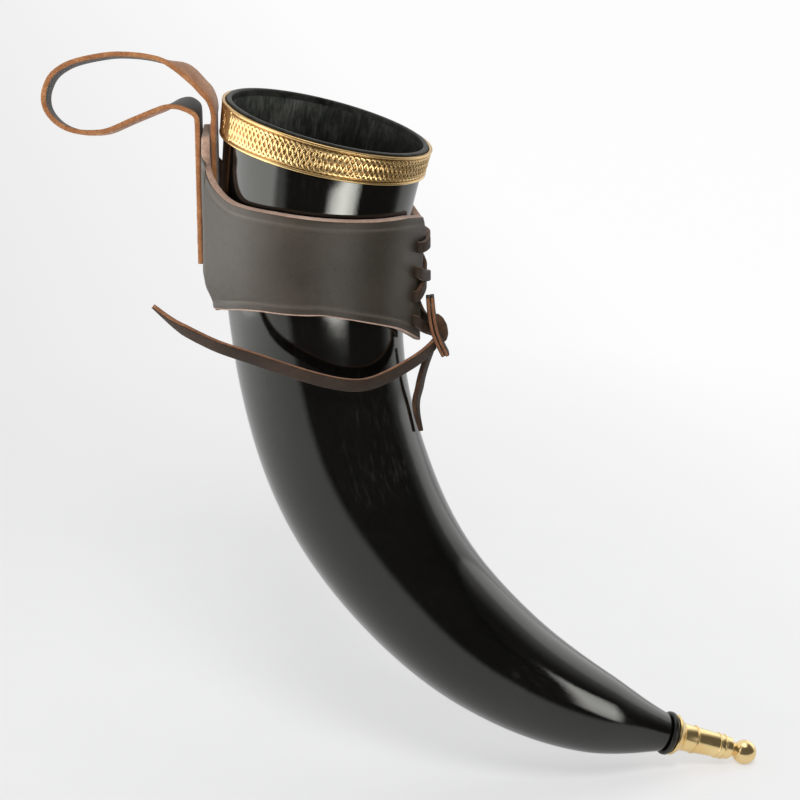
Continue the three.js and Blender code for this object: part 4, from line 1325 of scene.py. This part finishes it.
def lace_knot():
    """An upright lace with a slit, and the other lace that passes through the slit."""
    strip = spline(KNOT_STRIP_ROUTE, KNOT_ROWS)
    spread = KNOT_SPREAD + KNOT_SWELL * np.sin(math.pi * np.linspace(0, 1, KNOT_ROWS))
    pieces = []
    for name, sign in (("knot_strip_left", -1), ("knot_strip_right", 1)):
        route = strip + sign * spread[:, None] * KNOT_SPREAD_WAY
        pieces.append(ribbon(name, route, ALONG_BELT, LACE_WIDTH, KNOT_STRIP_THICKNESS,
                             [LACE_GRAIN, LACE_EDGE]))
    bend = spline(KNOT_BEND_ROUTE, KNOT_ROWS)
    pieces.append(ribbon("knot_bend", bend, KNOT_BEND_WIDTH_WAY, LACE_WIDTH, LACE_THICKNESS,
                         [LACE_FLESH, LACE_FLESH], end_share=0.5, start_share=0.5))
    for obj in pieces:
        dress(obj, "holster", "lace_knot")


lace_half("seam_lace_front", -1)
lace_half("seam_lace_back", 1)
lace_knot()


# Stage: pale floor, soft lights and a white surround

def lay_floor():
    half = FLOOR_SIZE / 2
    corners = [(-half, -half), (half, -half), (half, half), (-half, half)]
    floor = new_object("floor", [(x, y, FLOOR_Z) for x, y in corners], [[0, 1, 2, 3]],
                       [floor_material()], smooth=False)


def area_light(name, place, target, size, power, reflected=True, lights=True, spread=180, roll=0):
    """A soft lamp. It can be one that reflections don't see, or one that only they see."""
    data = bpy.data.lights.new(name, "AREA")
    data.shape = "RECTANGLE"
    data.size, data.size_y = size
    data.energy = power
    data.spread = math.radians(spread)
    lamp = into_scene(name, data)
    lamp.location = place
    facing = (Vector(target) - Vector(place)).to_track_quat("-Z", "Y")
    lamp.rotation_euler = (facing @ Quaternion((0, 0, 1), math.radians(roll))).to_euler()
    lamp.visible_glossy = reflected
    lamp.visible_diffuse = lights


def surround():
    """White surround that reflections see dim on the camera's side."""
    world = bpy.data.worlds.new("studio")
    bpy.context.scene.world = world
    world.use_nodes = True
    add = node_adder(world.node_tree)
    path = add("LightPath")
    direction = add("TexCoord").outputs["Generated"]
    dim = dimmed(add, side_share(add, direction, DIM_SIDE, *SKY_DIMS), direction)
    seen = mix_colour(add, path.outputs["Is Camera Ray"], AMBIENT_COLOUR, grey(1.0))
    seen = mix_colour(add, path.outputs["Is Glossy Ray"], seen, grey(0.95))
    background = world.node_tree.nodes["Background"]
    world.node_tree.links.new(mix_colour(add, dim, seen, DIM_COLOUR), background.inputs["Color"])


FLOOR_Z = min(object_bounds()[0][2], cad_box[0][2]) - FLOOR_GAP
lay_floor()
surround()
# Each lamp's place, the point it faces, its size and its power
area_light("top_softbox", (0.35, 0.1, 1.5), (0.1, 0.0, -0.15), (1.3, 1.0), 6)
area_light("front_key", (0.2, -1.3, 1.15), (0.12, 0.0, -0.2), (0.5, 0.4), 17, reflected=False)
area_light("left_softbox", (-1.2, -0.7, 0.45), (0.1, 0.0, -0.1), (0.8, 1.0), 3)
area_light("low_left_panel", (-0.45, 0.02, -0.165), (0.1, 0.02, -0.165), (0.85, 0.32), 2.0)
area_light("low_right_panel", (0.6, 0.45, -0.13), (0.1, 0.0, -0.13), (0.5, 0.35), 0.3)
area_light("window", (0.219, -0.302, -0.215), (0.083, -0.035, -0.05), (0.2, 0.042), 0.026,
           lights=False, spread=50)
area_light("low_window", (0.279, -0.02, -0.281), (0.183, 0.01, -0.2785), (0.058, 0.031), 0.0042,
           lights=False, spread=70, roll=60)

bpy.context.scene.view_settings.view_transform = "Standard"
